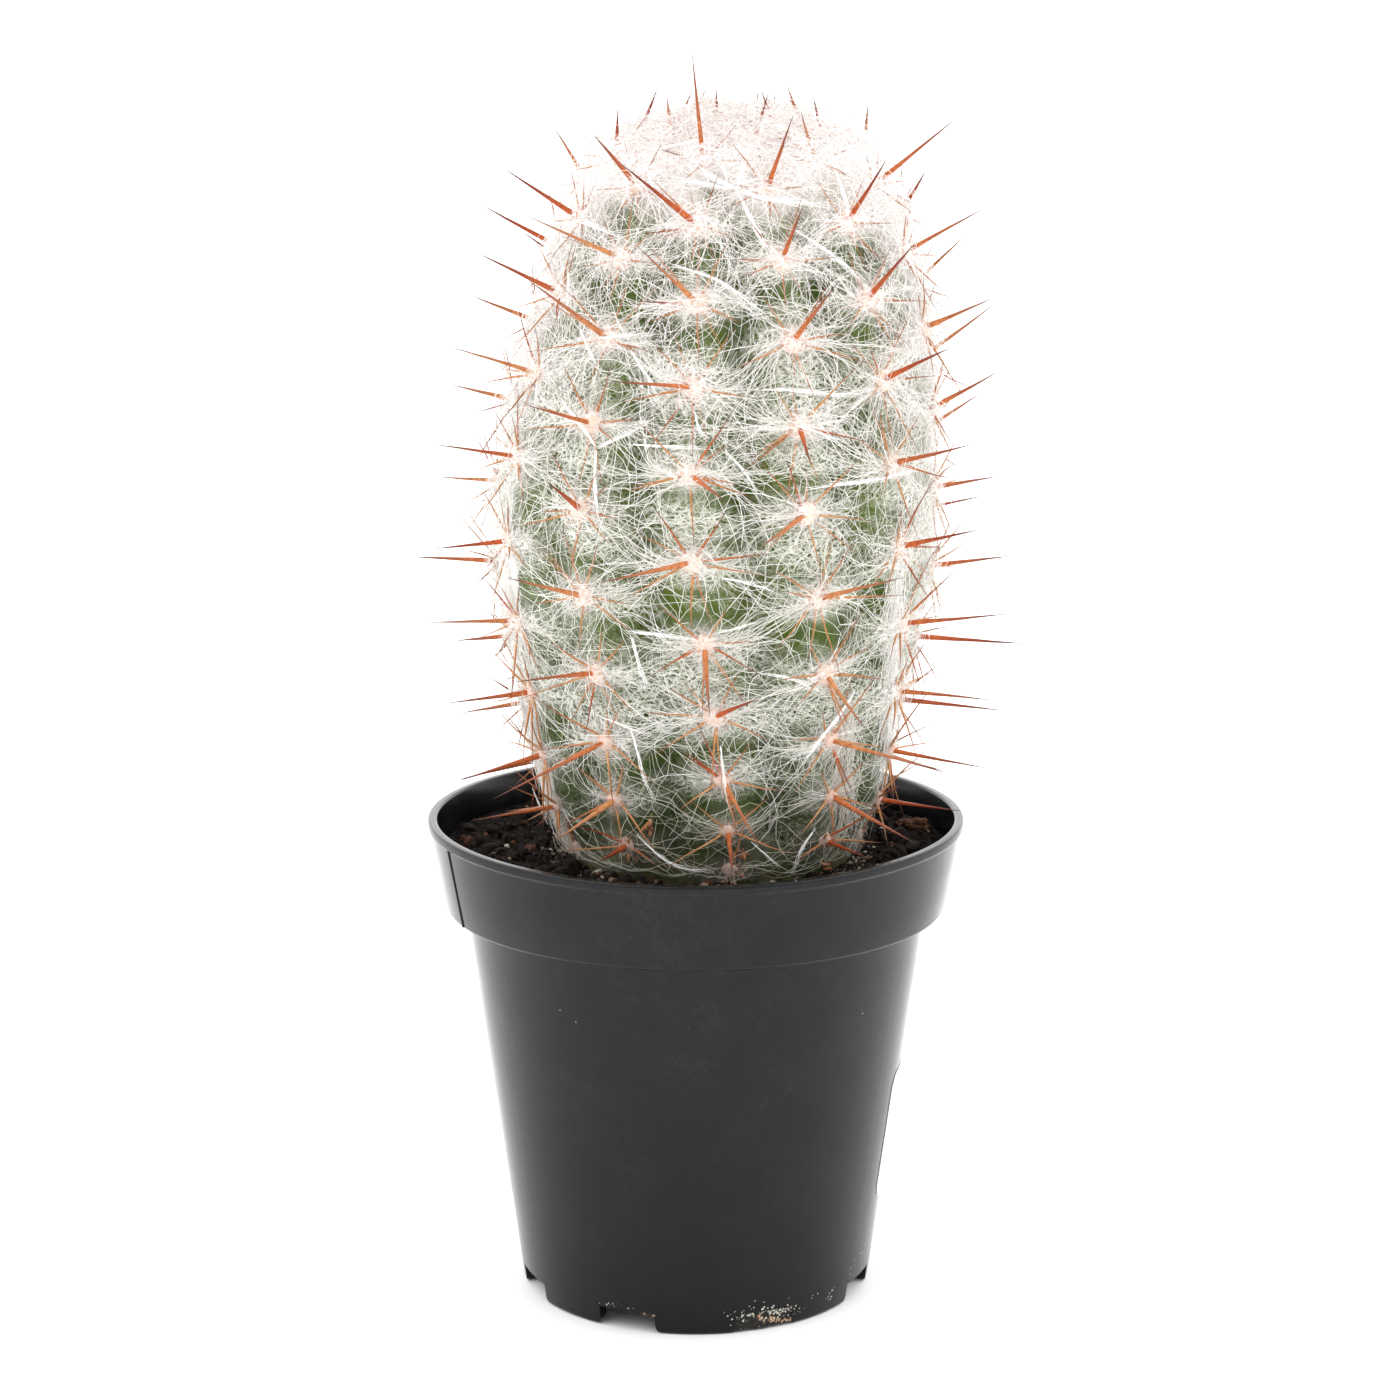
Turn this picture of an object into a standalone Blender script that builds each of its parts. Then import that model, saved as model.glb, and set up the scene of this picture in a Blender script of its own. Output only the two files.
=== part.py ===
"""A potted oreocereus: a ribbed, spiny column cactus in a black plastic nursery pot.

Metres, +Z up. The front looks along +Y, with +X to its right. The origin is on the floor, under the
middle of the whole plant. The pot's axis stands a little to the left of it, because the longest
spines reach further to the right. Everything is modelled about the pot's axis and hangs on one
empty there.
"""

import math
import random

import bmesh
import bpy
from mathutils import Matrix, Vector, noise

MM = 0.001
SEED = 5
SHARP_ANGLE = math.radians(35)
CORNER_TURNS = (0, math.radians(30), math.radians(60), math.radians(90))

# Where the pot's axis stands
POT_AXIS = Vector((-4.4, -0.6, 0.0)) * MM

# Pot, 10.5 cm across its rim
POT_SEGMENTS = 64
POT_HEIGHT = 94.8 * MM
RIM_RADIUS = 52.5 * MM
LIP_HEIGHT = 1.5 * MM
LIP_STEP = 0.5 * MM
EDGE_ROUND = 0.4 * MM
COLLAR_BOTTOM = 77.0 * MM
COLLAR_BOTTOM_RADIUS = 49.0 * MM
BODY_TOP_RADIUS = 45.2 * MM
BODY_BOTTOM_RADIUS = 34.6 * MM
BOTTOM_ROUND = 0.7 * MM
WALL = 1.3 * MM
FLOOR_BOTTOM = 4.8 * MM
FLOOR_TOP = 6.1 * MM
SKIRT_WALL = 2.6 * MM
RIM_SAG = 0.9 * MM
RIM_SAG_WIDTH = math.radians(45)

# Feet, the notches between them and the drain holes
FEET = 8
NOTCH_WIDTH = 11.6 * MM
NOTCH_HEIGHT = 4.0 * MM
FOOT_CORNER = 1.5 * MM
ABOVE_NOTCHES = 6.0 * MM
DRAIN_RADIUS = 3.2 * MM
DRAIN_SEGMENTS = 12
DRAIN_RING = 26.0 * MM

# Label on the right and back of the wall
LABEL_START = math.radians(72)
LABEL_WIDTH = 47.0 * MM
LABEL_BOTTOM = 19.0 * MM
LABEL_HEIGHT = 26.0 * MM
LABEL_CORNER = 2.6 * MM
LABEL_THICKNESS = 0.25 * MM
LABEL_MIDDLE_COLUMNS = 10

# Soil
GAP = 0.35 * MM
SOIL_SEGMENTS = 48
SOIL_EDGE_Z = 88.2 * MM
SOIL_HOLE_Z = 87.4 * MM
SOIL_RING_SHARES = (0.12, 0.35, 0.6, 0.85)
SOIL_LUMP = 1.6 * MM
SOIL_LUMP_SIZE = 3.6 * MM
HOLE_RADIUS = 27.7 * MM
HOLE_BOTTOM = 78.0 * MM
CHIPS = 26
CHIP_SCATTER = 0.6
CHIP_SIZE = (1.3 * MM, 2.4 * MM)
CHIP_RING = (35.5 * MM, 45.0 * MM)
CHIP_TILT = 0.15
BARK_CHIP = Vector((43.5, 12.5, 89.4)) * MM
BARK_CHIP_SIZE = Vector((3.2, 5.4, 3.0)) * MM
BARK_CHIP_TURN = math.radians(15)

# Stem: radius and height along the crest of a rib, from the root crown to the tip
CREST_OUTLINE = (
    (27.2, 78.4), (27.2, 88.0), (30.4, 97.0), (33.4, 107.0), (37.2, 127.0), (40.2, 143.0),
    (40.7, 152.0), (39.9, 166.0), (37.6, 182.0), (34.6, 195.0), (32.0, 205.0), (28.8, 214.0),
    (23.5, 221.5), (13.0, 226.0), (0.0, 227.2),
)
CREST_STEPS = 12
SLOPE_STEP = 0.5 * MM
ROOT_CROWN_TOP = 86.0 * MM
RIBS_FULL_Z = 99.0 * MM
STEM_X_LOW = 3.3 * MM
STEM_X_HIGH = 7.5 * MM
STEM_BEND = (150.0 * MM, 205.0 * MM)
RIBS = 12
FIRST_RIB = math.radians(-5)
RIB_DEPTH = 0.19
RIB_ROUNDNESS = 0.8
TWIST_MIDDLE = 150.0 * MM
TWIST_REACH = 55.0 * MM
TWIST_LIMITS = (-1.4, 1.1)
TWIST_LOW = (math.radians(12), math.radians(15))
TWIST_HIGH = (math.radians(8), math.radians(8))
ROW_HEIGHT = 6.3 * MM
COLUMNS_PER_RIB = 6

# Areoles, the spined pads along each rib
FIRST_AREOLE = 91.0 * MM
AREOLE_SPACING = 15.8 * MM
SPACING_LOSS_LOW = 7.0 * MM
SPACING_REACH_LOW = 60.0 * MM
SPACING_LOSS_HIGH = 3.5 * MM
SPACING_REACH_HIGH = 70.0 * MM
LOWEST_PAD = 93.0 * MM
INNERMOST_PAD = 10.0 * MM
PAD_RADIUS = 2.0 * MM
PAD_TOP_RADIUS = 0.8 * MM
PAD_HEIGHT = 1.0 * MM
PAD_SHOULDER = 0.2 * MM
PAD_ROOT = 1.3 * MM
BUMP_HEIGHT = 1.1 * MM
BUMP_LENGTH = 4.5 * MM
RADIALS = 5
RADIAL_LENGTH = (9.5 * MM, 15.0 * MM)
RADIAL_LEAN = (math.radians(60), math.radians(76))
HOUR_DRIFT = 0.4
CENTRAL_LENGTH = (12.0 * MM, 18.0 * MM)
CENTRAL_RISE = (-0.5, 0.9)
CENTRAL_RISE_DRIFT = 0.25
CENTRAL_SIDE_DRIFT = 0.6
CROWN = (192.0 * MM, 222.0 * MM)
CROWN_LENGTH = 0.6

# Clear heights that a low spine keeps over the soil and over the pot's rim
CLEAR_OF_SOIL = 92.6 * MM
CLEAR_OF_RIM = 97.4 * MM
RIM_ZONE = (46.0 * MM, 55.0 * MM)
SPINE_LIFT = 1.0 * MM
SPINE_SAMPLES = 8

# The long middle spines that show at the front, by rib and step from the soil. Each has the hour of
# the clock that it points to as seen from the front, how far it leans that way from straight out,
# and its length in millimetres.
FRONT_SPINES = {
    (0, 10): (12.0, 0.6, 21), (0, 9): (10.1, 1.0, 21), (0, 8): (10.5, 0.9, 19), (0, 7): (9.0, 1.0, 19),
    (0, 6): (4.0, 0.8, 13), (0, 5): (8.8, 1.2, 21), (0, 4): (5.7, 0.8, 15), (0, 3): (1.4, 0.9, 17),
    (0, 2): (4.7, 0.9, 16), (0, 1): (6.0, 0.6, 11),
    (1, 9): (12.6, 0.6, 17), (1, 8): (12.2, 0.6, 16), (1, 7): (12.8, 0.7, 18), (1, 6): (6.7, 0.6, 13),
    (1, 5): (8.4, 1.0, 18), (1, 4): (1.5, 0.8, 20), (1, 3): (5.5, 0.7, 14), (1, 2): (3.1, 0.9, 24),
    (1, 1): (3.9, 0.9, 18), (1, 0): (4.6, 0.6, 11),
    (2, 9): (11.8, 0.6, 16), (2, 8): (11.8, 0.6, 16), (2, 7): (1.4, 0.6, 15), (2, 6): (2.0, 0.6, 16),
    (2, 5): (1.7, 0.6, 16), (2, 4): (1.9, 0.8, 20), (2, 3): (2.5, 0.5, 18), (2, 2): (3.1, 0.6, 19),
    (2, 1): (4.0, 0.5, 17),
    (3, 9): (1.2, 0.5, 19), (3, 8): (1.4, 0.7, 17), (3, 7): (1.6, 0.6, 14), (3, 6): (1.1, 0.8, 14),
    (3, 5): (2.0, 0.4, 12), (3, 4): (1.9, 0.6, 15), (3, 3): (2.6, 0.4, 22), (3, 2): (3.0, 0.3, 22),
    (3, 1): (4.0, 0.4, 15),
    (11, 9): (11.1, 0.5, 14), (11, 8): (9.9, 0.9, 21), (11, 7): (10.8, 0.8, 20), (11, 6): (10.0, 0.5, 15),
    (11, 5): (12.5, 0.5, 13), (11, 4): (10.3, 1.0, 16), (11, 3): (9.8, 0.6, 17), (11, 2): (8.2, 1.1, 24),
    (11, 1): (8.0, 0.7, 15), (11, 0): (6.5, 0.6, 11),
    (10, 9): (10.8, 0.6, 17), (10, 8): (10.6, 0.6, 17), (10, 7): (10.0, 0.6, 17), (10, 6): (9.6, 0.5, 16),
    (10, 5): (8.6, 0.5, 14), (10, 4): (10.0, 0.5, 17), (10, 3): (9.3, 0.5, 16), (10, 2): (8.4, 0.5, 17),
    (10, 1): (8.4, 0.5, 17),
    (9, 8): (10.6, 0.6, 16), (9, 7): (10.2, 0.5, 13), (9, 6): (9.8, 0.4, 12), (9, 5): (9.0, 0.4, 11),
    (9, 4): (9.9, 0.4, 17), (9, 3): (9.2, 0.4, 11), (9, 2): (8.6, 0.4, 13), (9, 1): (8.4, 0.4, 16),
}

# Colours: plain Principled materials, one for each piece
MATERIALS = {
    "pot": ((0.030, 0.030, 0.032), 0.45),
    "soil": ((0.020, 0.014, 0.010), 0.95),
    "cactus": ((0.110, 0.160, 0.060), 0.60),
    "label": ((0.850, 0.860, 0.830), 0.60),
}


def clear_scene():
    for obj in list(bpy.data.objects):
        bpy.data.objects.remove(obj)


def lerp(a, b, t):
    return a + (b - a) * t


def ramp(value, low, high):
    """A smooth step from 0 at low to 1 at high."""
    t = min(1.0, max(0.0, (value - low) / (high - low)))
    return t * t * (3 - 2 * t)


def about_axis(radius, angle, z, centre_x=0.0):
    """A point by its angle from the front, turning towards +X."""
    return Vector((centre_x + radius * math.sin(angle), -radius * math.cos(angle), z))


# Making objects


def object_from(bm, name, axis):
    """A finished node: its mesh faces out, is shaded smooth and hangs on the pot's axis."""
    bmesh.ops.recalc_face_normals(bm, faces=bm.faces)
    mesh = bpy.data.meshes.new(name)
    bm.to_mesh(mesh)
    bm.free()
    mesh.shade_smooth()
    mesh.set_sharp_from_angle(angle=SHARP_ANGLE)
    obj = bpy.data.objects.new(name, mesh)
    bpy.context.scene.collection.objects.link(obj)
    obj.parent = axis
    if name in MATERIALS:
        mesh.materials.append(plain_material(name))
    return obj


def plain_material(name):
    color, roughness = MATERIALS[name]
    material = bpy.data.materials.new(name)
    material.use_nodes = True
    shader = material.node_tree.nodes["Principled BSDF"]
    shader.inputs["Base Color"].default_value = (*color, 1.0)
    shader.inputs["Roughness"].default_value = roughness
    shader.inputs["Metallic"].default_value = 0.0
    return material


def cut(obj, bm, name, axis):
    """Cuts the mesh out of obj by a Boolean that stays on it."""
    cutter = object_from(bm, name, axis)
    cutter.hide_render = True
    cutter.display_type = "WIRE"
    modifier = obj.modifiers.new(name, "BOOLEAN")
    modifier.operation = "DIFFERENCE"
    modifier.object = cutter


def fuse(obj, pieces):
    """Joins a collection's pieces to obj by one union, then removes them."""
    modifier = obj.modifiers.new("union", "BOOLEAN")
    modifier.operation = "UNION"
    modifier.operand_type = "COLLECTION"
    modifier.collection = pieces
    modifier.solver = "MANIFOLD"
    graph = bpy.context.evaluated_depsgraph_get()
    joined = bpy.data.meshes.new_from_object(obj.evaluated_get(graph))
    obj.modifiers.clear()
    obj.data = joined
    for piece in list(pieces.objects):
        bpy.data.objects.remove(piece)
    bpy.data.collections.remove(pieces)


def new_pieces(name):
    pieces = bpy.data.collections.new(name)
    bpy.context.scene.collection.children.link(pieces)
    return pieces


def add_piece(pieces, bm, name, axis):
    """Adds one closed mesh to the pieces that a union will join."""
    obj = object_from(bm, name, axis)
    bpy.context.scene.collection.objects.unlink(obj)
    pieces.objects.link(obj)


def add_ring(bm, points):
    return [bm.verts.new(point) for point in points]


def bridge(bm, lower, upper):
    """Quads from one ring to the next, or triangles where one of them is a single point."""
    for i in range(max(len(lower), len(upper))):
        corners = []
        for ring, steps in ((lower, (0, 1)), (upper, (1, 0))):
            if len(ring) == 1:
                corners.append(ring[0])
            else:
                corners.extend(ring[(i + step) % len(ring)] for step in steps)
        bm.faces.new(corners)


def closed_from_rings(rings):
    """A closed mesh from rings of points, of which the first and the last are single points."""
    bm = bmesh.new()
    made = [add_ring(bm, ring) for ring in rings]
    for lower, upper in zip(made, made[1:]):
        bridge(bm, lower, upper)
    return bm


# Pot


def wall_radius(z):
    """The outside of the tapered wall."""
    return lerp(BODY_BOTTOM_RADIUS, BODY_TOP_RADIUS, z / COLLAR_BOTTOM)


def collar_radius(z):
    """The outside of the collar, which widens up to the lip."""
    share = (z - COLLAR_BOTTOM) / (POT_HEIGHT - LIP_HEIGHT - COLLAR_BOTTOM)
    return lerp(COLLAR_BOTTOM_RADIUS, RIM_RADIUS - LIP_STEP, share)


def pot_profile():
    """Radius and height of the pot's section, from the axis under the floor round to the axis above it."""
    lip_bottom = POT_HEIGHT - LIP_HEIGHT
    ledge_top = COLLAR_BOTTOM + WALL
    skirt_inside = BODY_BOTTOM_RADIUS - SKIRT_WALL
    return [
        (0.0, FLOOR_BOTTOM),
        (skirt_inside - EDGE_ROUND, FLOOR_BOTTOM),
        (skirt_inside, 0.0),
        (BODY_BOTTOM_RADIUS - BOTTOM_ROUND, 0.0),
        (wall_radius(BOTTOM_ROUND), BOTTOM_ROUND),
        (wall_radius(ABOVE_NOTCHES), ABOVE_NOTCHES),
        (BODY_TOP_RADIUS, COLLAR_BOTTOM),
        (COLLAR_BOTTOM_RADIUS - EDGE_ROUND, COLLAR_BOTTOM),
        (COLLAR_BOTTOM_RADIUS, COLLAR_BOTTOM + EDGE_ROUND),
        (collar_radius(lip_bottom - LIP_STEP), lip_bottom - LIP_STEP),
        (RIM_RADIUS, lip_bottom),
        (RIM_RADIUS, POT_HEIGHT - EDGE_ROUND),
        (RIM_RADIUS - EDGE_ROUND, POT_HEIGHT),
        (RIM_RADIUS - LIP_STEP - WALL, POT_HEIGHT),
        (RIM_RADIUS - LIP_STEP - WALL - EDGE_ROUND, POT_HEIGHT - EDGE_ROUND),
        (collar_radius(ledge_top) - WALL, ledge_top),
        (BODY_TOP_RADIUS - WALL, ledge_top),
        (wall_radius(FLOOR_TOP + WALL) - WALL, FLOOR_TOP + WALL),
        (wall_radius(FLOOR_TOP) - 2 * WALL, FLOOR_TOP),
        (0.0, FLOOR_TOP),
    ]


def sagged(point):
    """The thin collar dips a little at the front."""
    share = ramp(point.z, COLLAR_BOTTOM, POT_HEIGHT)
    angle = math.atan2(point.x, -point.y)
    dip = RIM_SAG * math.exp(-((angle / RIM_SAG_WIDTH) ** 2))
    return Vector((point.x, point.y, point.z - dip * share))


def turned_rings(profile, segments):
    rings = []
    for radius, z in profile:
        if radius == 0:
            rings.append([Vector((0, 0, z))])
        else:
            turns = (math.tau * i / segments for i in range(segments))
            rings.append([sagged(about_axis(radius, -turn, z)) for turn in turns])
    return rings


def make_pot(axis):
    pot = object_from(closed_from_rings(turned_rings(pot_profile(), POT_SEGMENTS)), "pot", axis)
    cut(pot, notch_cutters(), "notch_cutter", axis)
    cut(pot, drain_cutters(), "drain_cutter", axis)
    return pot


def notch_outline():
    """A notch seen from outside: it widens at the floor, where the feet's corners are round."""
    half = NOTCH_WIDTH / 2
    below = -FOOT_CORNER
    arc = [
        (half + FOOT_CORNER * (1 - math.cos(turn)), FOOT_CORNER * (1 - math.sin(turn)))
        for turn in CORNER_TURNS
    ]
    right = [(half, NOTCH_HEIGHT)] + arc + [(half + FOOT_CORNER, below)]
    left = [(-x, z) for x, z in reversed(right)]
    return right + left


def notch_cutters():
    bm = bmesh.new()
    near, far = BODY_BOTTOM_RADIUS - 2 * SKIRT_WALL, BODY_BOTTOM_RADIUS + SKIRT_WALL
    for foot in range(FEET):
        turn = Matrix.Rotation(math.tau * (foot + 0.5) / FEET, 3, "Z")
        ends = [
            add_ring(bm, [turn @ Vector((x, -depth, z)) for x, z in notch_outline()])
            for depth in (near, far)
        ]
        bridge(bm, *ends)
        bm.faces.new(ends[0])
        bm.faces.new(ends[1])
    return bm


def drain_cutters():
    bm = bmesh.new()
    for foot in range(FEET):
        centre = about_axis(DRAIN_RING, math.tau * (foot + 0.5) / FEET, (FLOOR_BOTTOM + FLOOR_TOP) / 2)
        bmesh.ops.create_cone(
            bm,
            cap_ends=True,
            segments=DRAIN_SEGMENTS,
            radius1=DRAIN_RADIUS,
            radius2=DRAIN_RADIUS,
            depth=3 * (FLOOR_TOP - FLOOR_BOTTOM),
            matrix=Matrix.Translation(centre),
        )
    return bm


# Label


def label_columns():
    """Places along the label, with how far its round corners cut into its height there."""
    corner = [LABEL_CORNER * (1 - math.cos(turn)) for turn in CORNER_TURNS]
    shares = [column / LABEL_MIDDLE_COLUMNS for column in range(1, LABEL_MIDDLE_COLUMNS)]
    middle = [lerp(LABEL_CORNER, LABEL_WIDTH - LABEL_CORNER, share) for share in shares]
    places = corner + middle + [LABEL_WIDTH - place for place in reversed(corner)]
    columns = []
    for place in places:
        inward = max(0.0, LABEL_CORNER - min(place, LABEL_WIDTH - place))
        columns.append((place, LABEL_CORNER - math.sqrt(LABEL_CORNER**2 - inward**2)))
    return columns


def make_label(axis):
    bm = bmesh.new()
    middle_radius = wall_radius(LABEL_BOTTOM + LABEL_HEIGHT / 2)
    rings = []
    for place, trim in label_columns():
        angle = LABEL_START + place / middle_radius
        low, high = LABEL_BOTTOM + trim, LABEL_BOTTOM + LABEL_HEIGHT - trim
        corners = ((GAP, low), (GAP + LABEL_THICKNESS, low), (GAP + LABEL_THICKNESS, high), (GAP, high))
        rings.append(add_ring(bm, [about_axis(wall_radius(z) + off, angle, z) for off, z in corners]))
    for one, other in zip(rings, rings[1:]):
        bridge(bm, one, other)
    bm.faces.new(rings[0])
    bm.faces.new(rings[-1])
    return object_from(bm, "label", axis)


# Soil


def plug_profile():
    """Radius and height of the plug's outside, clear of the pot's floor, wall, ledge and collar."""
    ledge_top = COLLAR_BOTTOM + WALL
    return [
        (wall_radius(FLOOR_TOP) - 2 * WALL - GAP, FLOOR_TOP + GAP),
        (wall_radius(FLOOR_TOP + WALL) - WALL - GAP, FLOOR_TOP + WALL + GAP),
        (BODY_TOP_RADIUS - WALL - GAP, ledge_top + GAP),
        (collar_radius(ledge_top) - WALL - GAP, ledge_top + GAP),
        (collar_radius(SOIL_EDGE_Z) - WALL - 2 * GAP, SOIL_EDGE_Z),
    ]


def make_soil(axis):
    rings = [[Vector((0, 0, FLOOR_TOP + GAP))]]
    for radius, z in plug_profile():
        rings.append(soil_ring(radius, z, 0.0))
    outer = rings[-1]
    hole = soil_ring(HOLE_RADIUS, SOIL_HOLE_Z, STEM_X_LOW)
    for share in SOIL_RING_SHARES:
        ring = [a.lerp(b, share) for a, b in zip(outer, hole)]
        rings.append([Vector((p.x, p.y, p.z + lumps_at(p))) for p in ring])
    rings.append(hole)
    rings.append(soil_ring(HOLE_RADIUS, HOLE_BOTTOM, STEM_X_LOW))
    rings.append([Vector((STEM_X_LOW, 0, HOLE_BOTTOM))])
    soil = object_from(closed_from_rings(rings), "soil", axis)
    fuse(soil, soil_chips(axis))
    return soil


def soil_ring(radius, z, centre_x):
    turns = (-math.tau * i / SOIL_SEGMENTS for i in range(SOIL_SEGMENTS))
    return [about_axis(radius, turn, z, centre_x) for turn in turns]


def lumps_at(point):
    """Height of the loose soil over its mean level."""
    return SOIL_LUMP * noise.noise(point / SOIL_LUMP_SIZE)


def soil_chips(axis):
    """Chips of bark and grains of perlite that stick out of the soil, sunk by half."""
    draws = random.Random(SEED)
    pieces = new_pieces("chips")
    for chip in range(CHIPS):
        angle = math.tau * (chip + CHIP_SCATTER * draws.random()) / CHIPS
        size = Vector([draws.uniform(*CHIP_SIZE) for _ in range(3)])
        place = about_axis(draws.uniform(*CHIP_RING), angle, SOIL_EDGE_Z)
        add_piece(pieces, chip_mesh(place, size, draws.random() * math.tau), "chip", axis)
    add_piece(pieces, chip_mesh(BARK_CHIP, BARK_CHIP_SIZE, BARK_CHIP_TURN), "bark", axis)
    return pieces


def chip_mesh(place, size, turn):
    bm = bmesh.new()
    spin = Matrix.Rotation(turn, 4, "Z") @ Matrix.Rotation(turn * CHIP_TILT, 4, "X")
    shape = Matrix.Translation(place) @ spin @ Matrix.Diagonal((*size, 1.0))
    bmesh.ops.create_icosphere(bm, subdivisions=1, radius=1.0, matrix=shape)
    return bm


# Stem


def crest_curve():
    """The crest's outline as a smooth curve: length along it, radius, height."""
    points = [Vector((radius, z)) * MM for radius, z in CREST_OUTLINE]
    curve = []
    for i in range(len(points) - 1):
        before = points[max(i - 1, 0)]
        after = points[min(i + 2, len(points) - 1)]
        for step in range(CREST_STEPS):
            curve.append(catmull_rom(before, points[i], points[i + 1], after, step / CREST_STEPS))
    curve.append(points[-1])
    lengths = [0.0]
    for one, other in zip(curve, curve[1:]):
        lengths.append(lengths[-1] + (other - one).length)
    return [(length, max(point.x, 0.0), point.y) for length, point in zip(lengths, curve)]


def catmull_rom(a, b, c, d, t):
    return 0.5 * (
        2 * b + (c - a) * t + (2 * a - 5 * b + 4 * c - d) * t**2 + (3 * b - a - 3 * c + d) * t**3
    )


CREST = crest_curve()
CREST_LENGTH = CREST[-1][0]


def crest_at(length):
    """Radius and height of the crest at a length along it."""
    length = min(max(length, 0.0), CREST_LENGTH)
    for (s0, r0, z0), (s1, r1, z1) in zip(CREST, CREST[1:]):
        if length <= s1:
            t = (length - s0) / (s1 - s0)
            return lerp(r0, r1, t), lerp(z0, z1, t)
    return CREST[-1][1:]


def length_at_height(height):
    for (s0, _, z0), (s1, _, z1) in zip(CREST, CREST[1:]):
        if height <= z1:
            return lerp(s0, s1, (height - z0) / (z1 - z0))
    return CREST_LENGTH


def stem_x(z):
    return lerp(STEM_X_LOW, STEM_X_HIGH, ramp(z, *STEM_BEND))


def twisted(phi, z):
    """The angle that a rib line has at a height: the ribs turn a little and crowd or spread."""
    share = (TWIST_MIDDLE - z) / TWIST_REACH
    turn, spread = TWIST_LOW if share > 0 else TWIST_HIGH
    lowest, highest = TWIST_LIMITS
    share = min(max(share, lowest), highest)
    return phi + share * (turn + spread * math.sin(phi))


def spacing_at(z):
    """Distance between neighbouring areoles of a rib, shorter towards the soil and the tip."""
    if z < TWIST_MIDDLE:
        return AREOLE_SPACING - SPACING_LOSS_LOW * ((TWIST_MIDDLE - z) / SPACING_REACH_LOW) ** 2
    return AREOLE_SPACING - SPACING_LOSS_HIGH * ((z - TWIST_MIDDLE) / SPACING_REACH_HIGH) ** 2


def areole_lengths(rib):
    """Lengths along the crest of a rib's areoles. Every other rib starts half a step higher."""
    length = length_at_height(FIRST_AREOLE)
    if rib % 2:
        length += spacing_at(FIRST_AREOLE) / 2
    found = []
    while length < CREST_LENGTH:
        found.append(length)
        length += spacing_at(crest_at(length)[1])
    return found


AREOLES = [areole_lengths(rib) for rib in range(RIBS)]


def stem_point(rib, across, length):
    """A point of the ribbed skin. across runs from -0.5 to 0.5, valley to valley over the crest."""
    radius, z = crest_at(length)
    crown = ramp(z, ROOT_CROWN_TOP, RIBS_FULL_Z)
    radius -= crown * RIB_DEPTH * radius * (1 - math.cos(math.pi * across) ** RIB_ROUNDNESS)
    nearest = min(abs(length - place) for place in AREOLES[rib % RIBS])
    bump = BUMP_HEIGHT * math.exp(-((nearest / BUMP_LENGTH) ** 2)) * math.cos(math.pi * across) ** 2
    radius += crown * bump * min(1.0, radius / INNERMOST_PAD)
    angle = twisted(FIRST_RIB + math.tau * (rib + across) / RIBS, z)
    return about_axis(radius, angle, z, stem_x(z))


def stem_rings():
    columns = []
    for rib in range(RIBS):
        for column in range(COLUMNS_PER_RIB):
            columns.append((rib, column / COLUMNS_PER_RIB - 0.5))
    skin_start = length_at_height(SOIL_HOLE_Z + GAP)
    rows = round((CREST_LENGTH - skin_start) / ROW_HEIGHT)
    lengths = [0.0] + [lerp(skin_start, CREST_LENGTH, row / rows) for row in range(rows)]
    rings = [[Vector((stem_x(CREST[0][2]), 0, CREST[0][2]))]]
    for length in lengths:
        rings.append([stem_point(rib, across, length) for rib, across in columns])
    rings.append([Vector((stem_x(CREST[-1][2]), 0, CREST[-1][2]))])
    return rings


class Areole:
    """One spined pad: where it sits on its rib and which way out, up and sideways are there."""

    def __init__(self, rib, step):
        self.rib, self.step = rib, step
        length = AREOLES[rib][step]
        self.centre = stem_point(rib, 0.0, length)
        before, after = length - SLOPE_STEP, length + SLOPE_STEP
        self.up = (stem_point(rib, 0.0, after) - stem_point(rib, 0.0, before)).normalized()
        radius, z = crest_at(length)
        below, above = crest_at(before), crest_at(after)
        slope = Vector((above[1] - below[1], below[0] - above[0])).normalized()
        angle = twisted(FIRST_RIB + math.tau * rib / RIBS, z)
        self.out = about_axis(slope.x, angle, slope.y).normalized()
        self.side = self.up.cross(self.out).normalized()
        self.radius, self.height = radius, z
        self.draws = random.Random(SEED + 100 * rib + step)

    def by_clock(self, hour, lean):
        """A direction that leans from straight out towards an hour of the clock."""
        turn = math.radians(30 * hour)
        across = self.up * math.cos(turn) + self.side * math.sin(turn)
        return self.out * math.cos(lean) + across * math.sin(lean)


def all_areoles():
    for rib in range(RIBS):
        for step, length in enumerate(AREOLES[rib]):
            radius, z = crest_at(length)
            if z > LOWEST_PAD and radius > INNERMOST_PAD:
                yield Areole(rib, step)


def central_spine(areole):
    """Direction and length of an areole's long middle spine."""
    draws = areole.draws
    seen = FRONT_SPINES.get((areole.rib, areole.step))
    if seen:
        hour, spread, length = seen
        turn = math.radians(30 * hour)
        picture = Vector((math.sin(turn), 0, math.cos(turn)))
        return (areole.out + picture * spread).normalized(), length * MM
    rise = lerp(*CENTRAL_RISE, (areole.height - LOWEST_PAD) / (CREST[-1][2] - LOWEST_PAD))
    rise += draws.uniform(-CENTRAL_RISE_DRIFT, CENTRAL_RISE_DRIFT)
    sideways = draws.uniform(-CENTRAL_SIDE_DRIFT, CENTRAL_SIDE_DRIFT)
    direction = areole.out + areole.up * rise + areole.side * sideways
    return direction.normalized(), youth_at(areole.height) * draws.uniform(*CENTRAL_LENGTH)


def youth_at(z):
    """How long the spines are at a height: the young ones at the crown are still short."""
    return lerp(1.0, CROWN_LENGTH, ramp(z, *CROWN))


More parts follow.
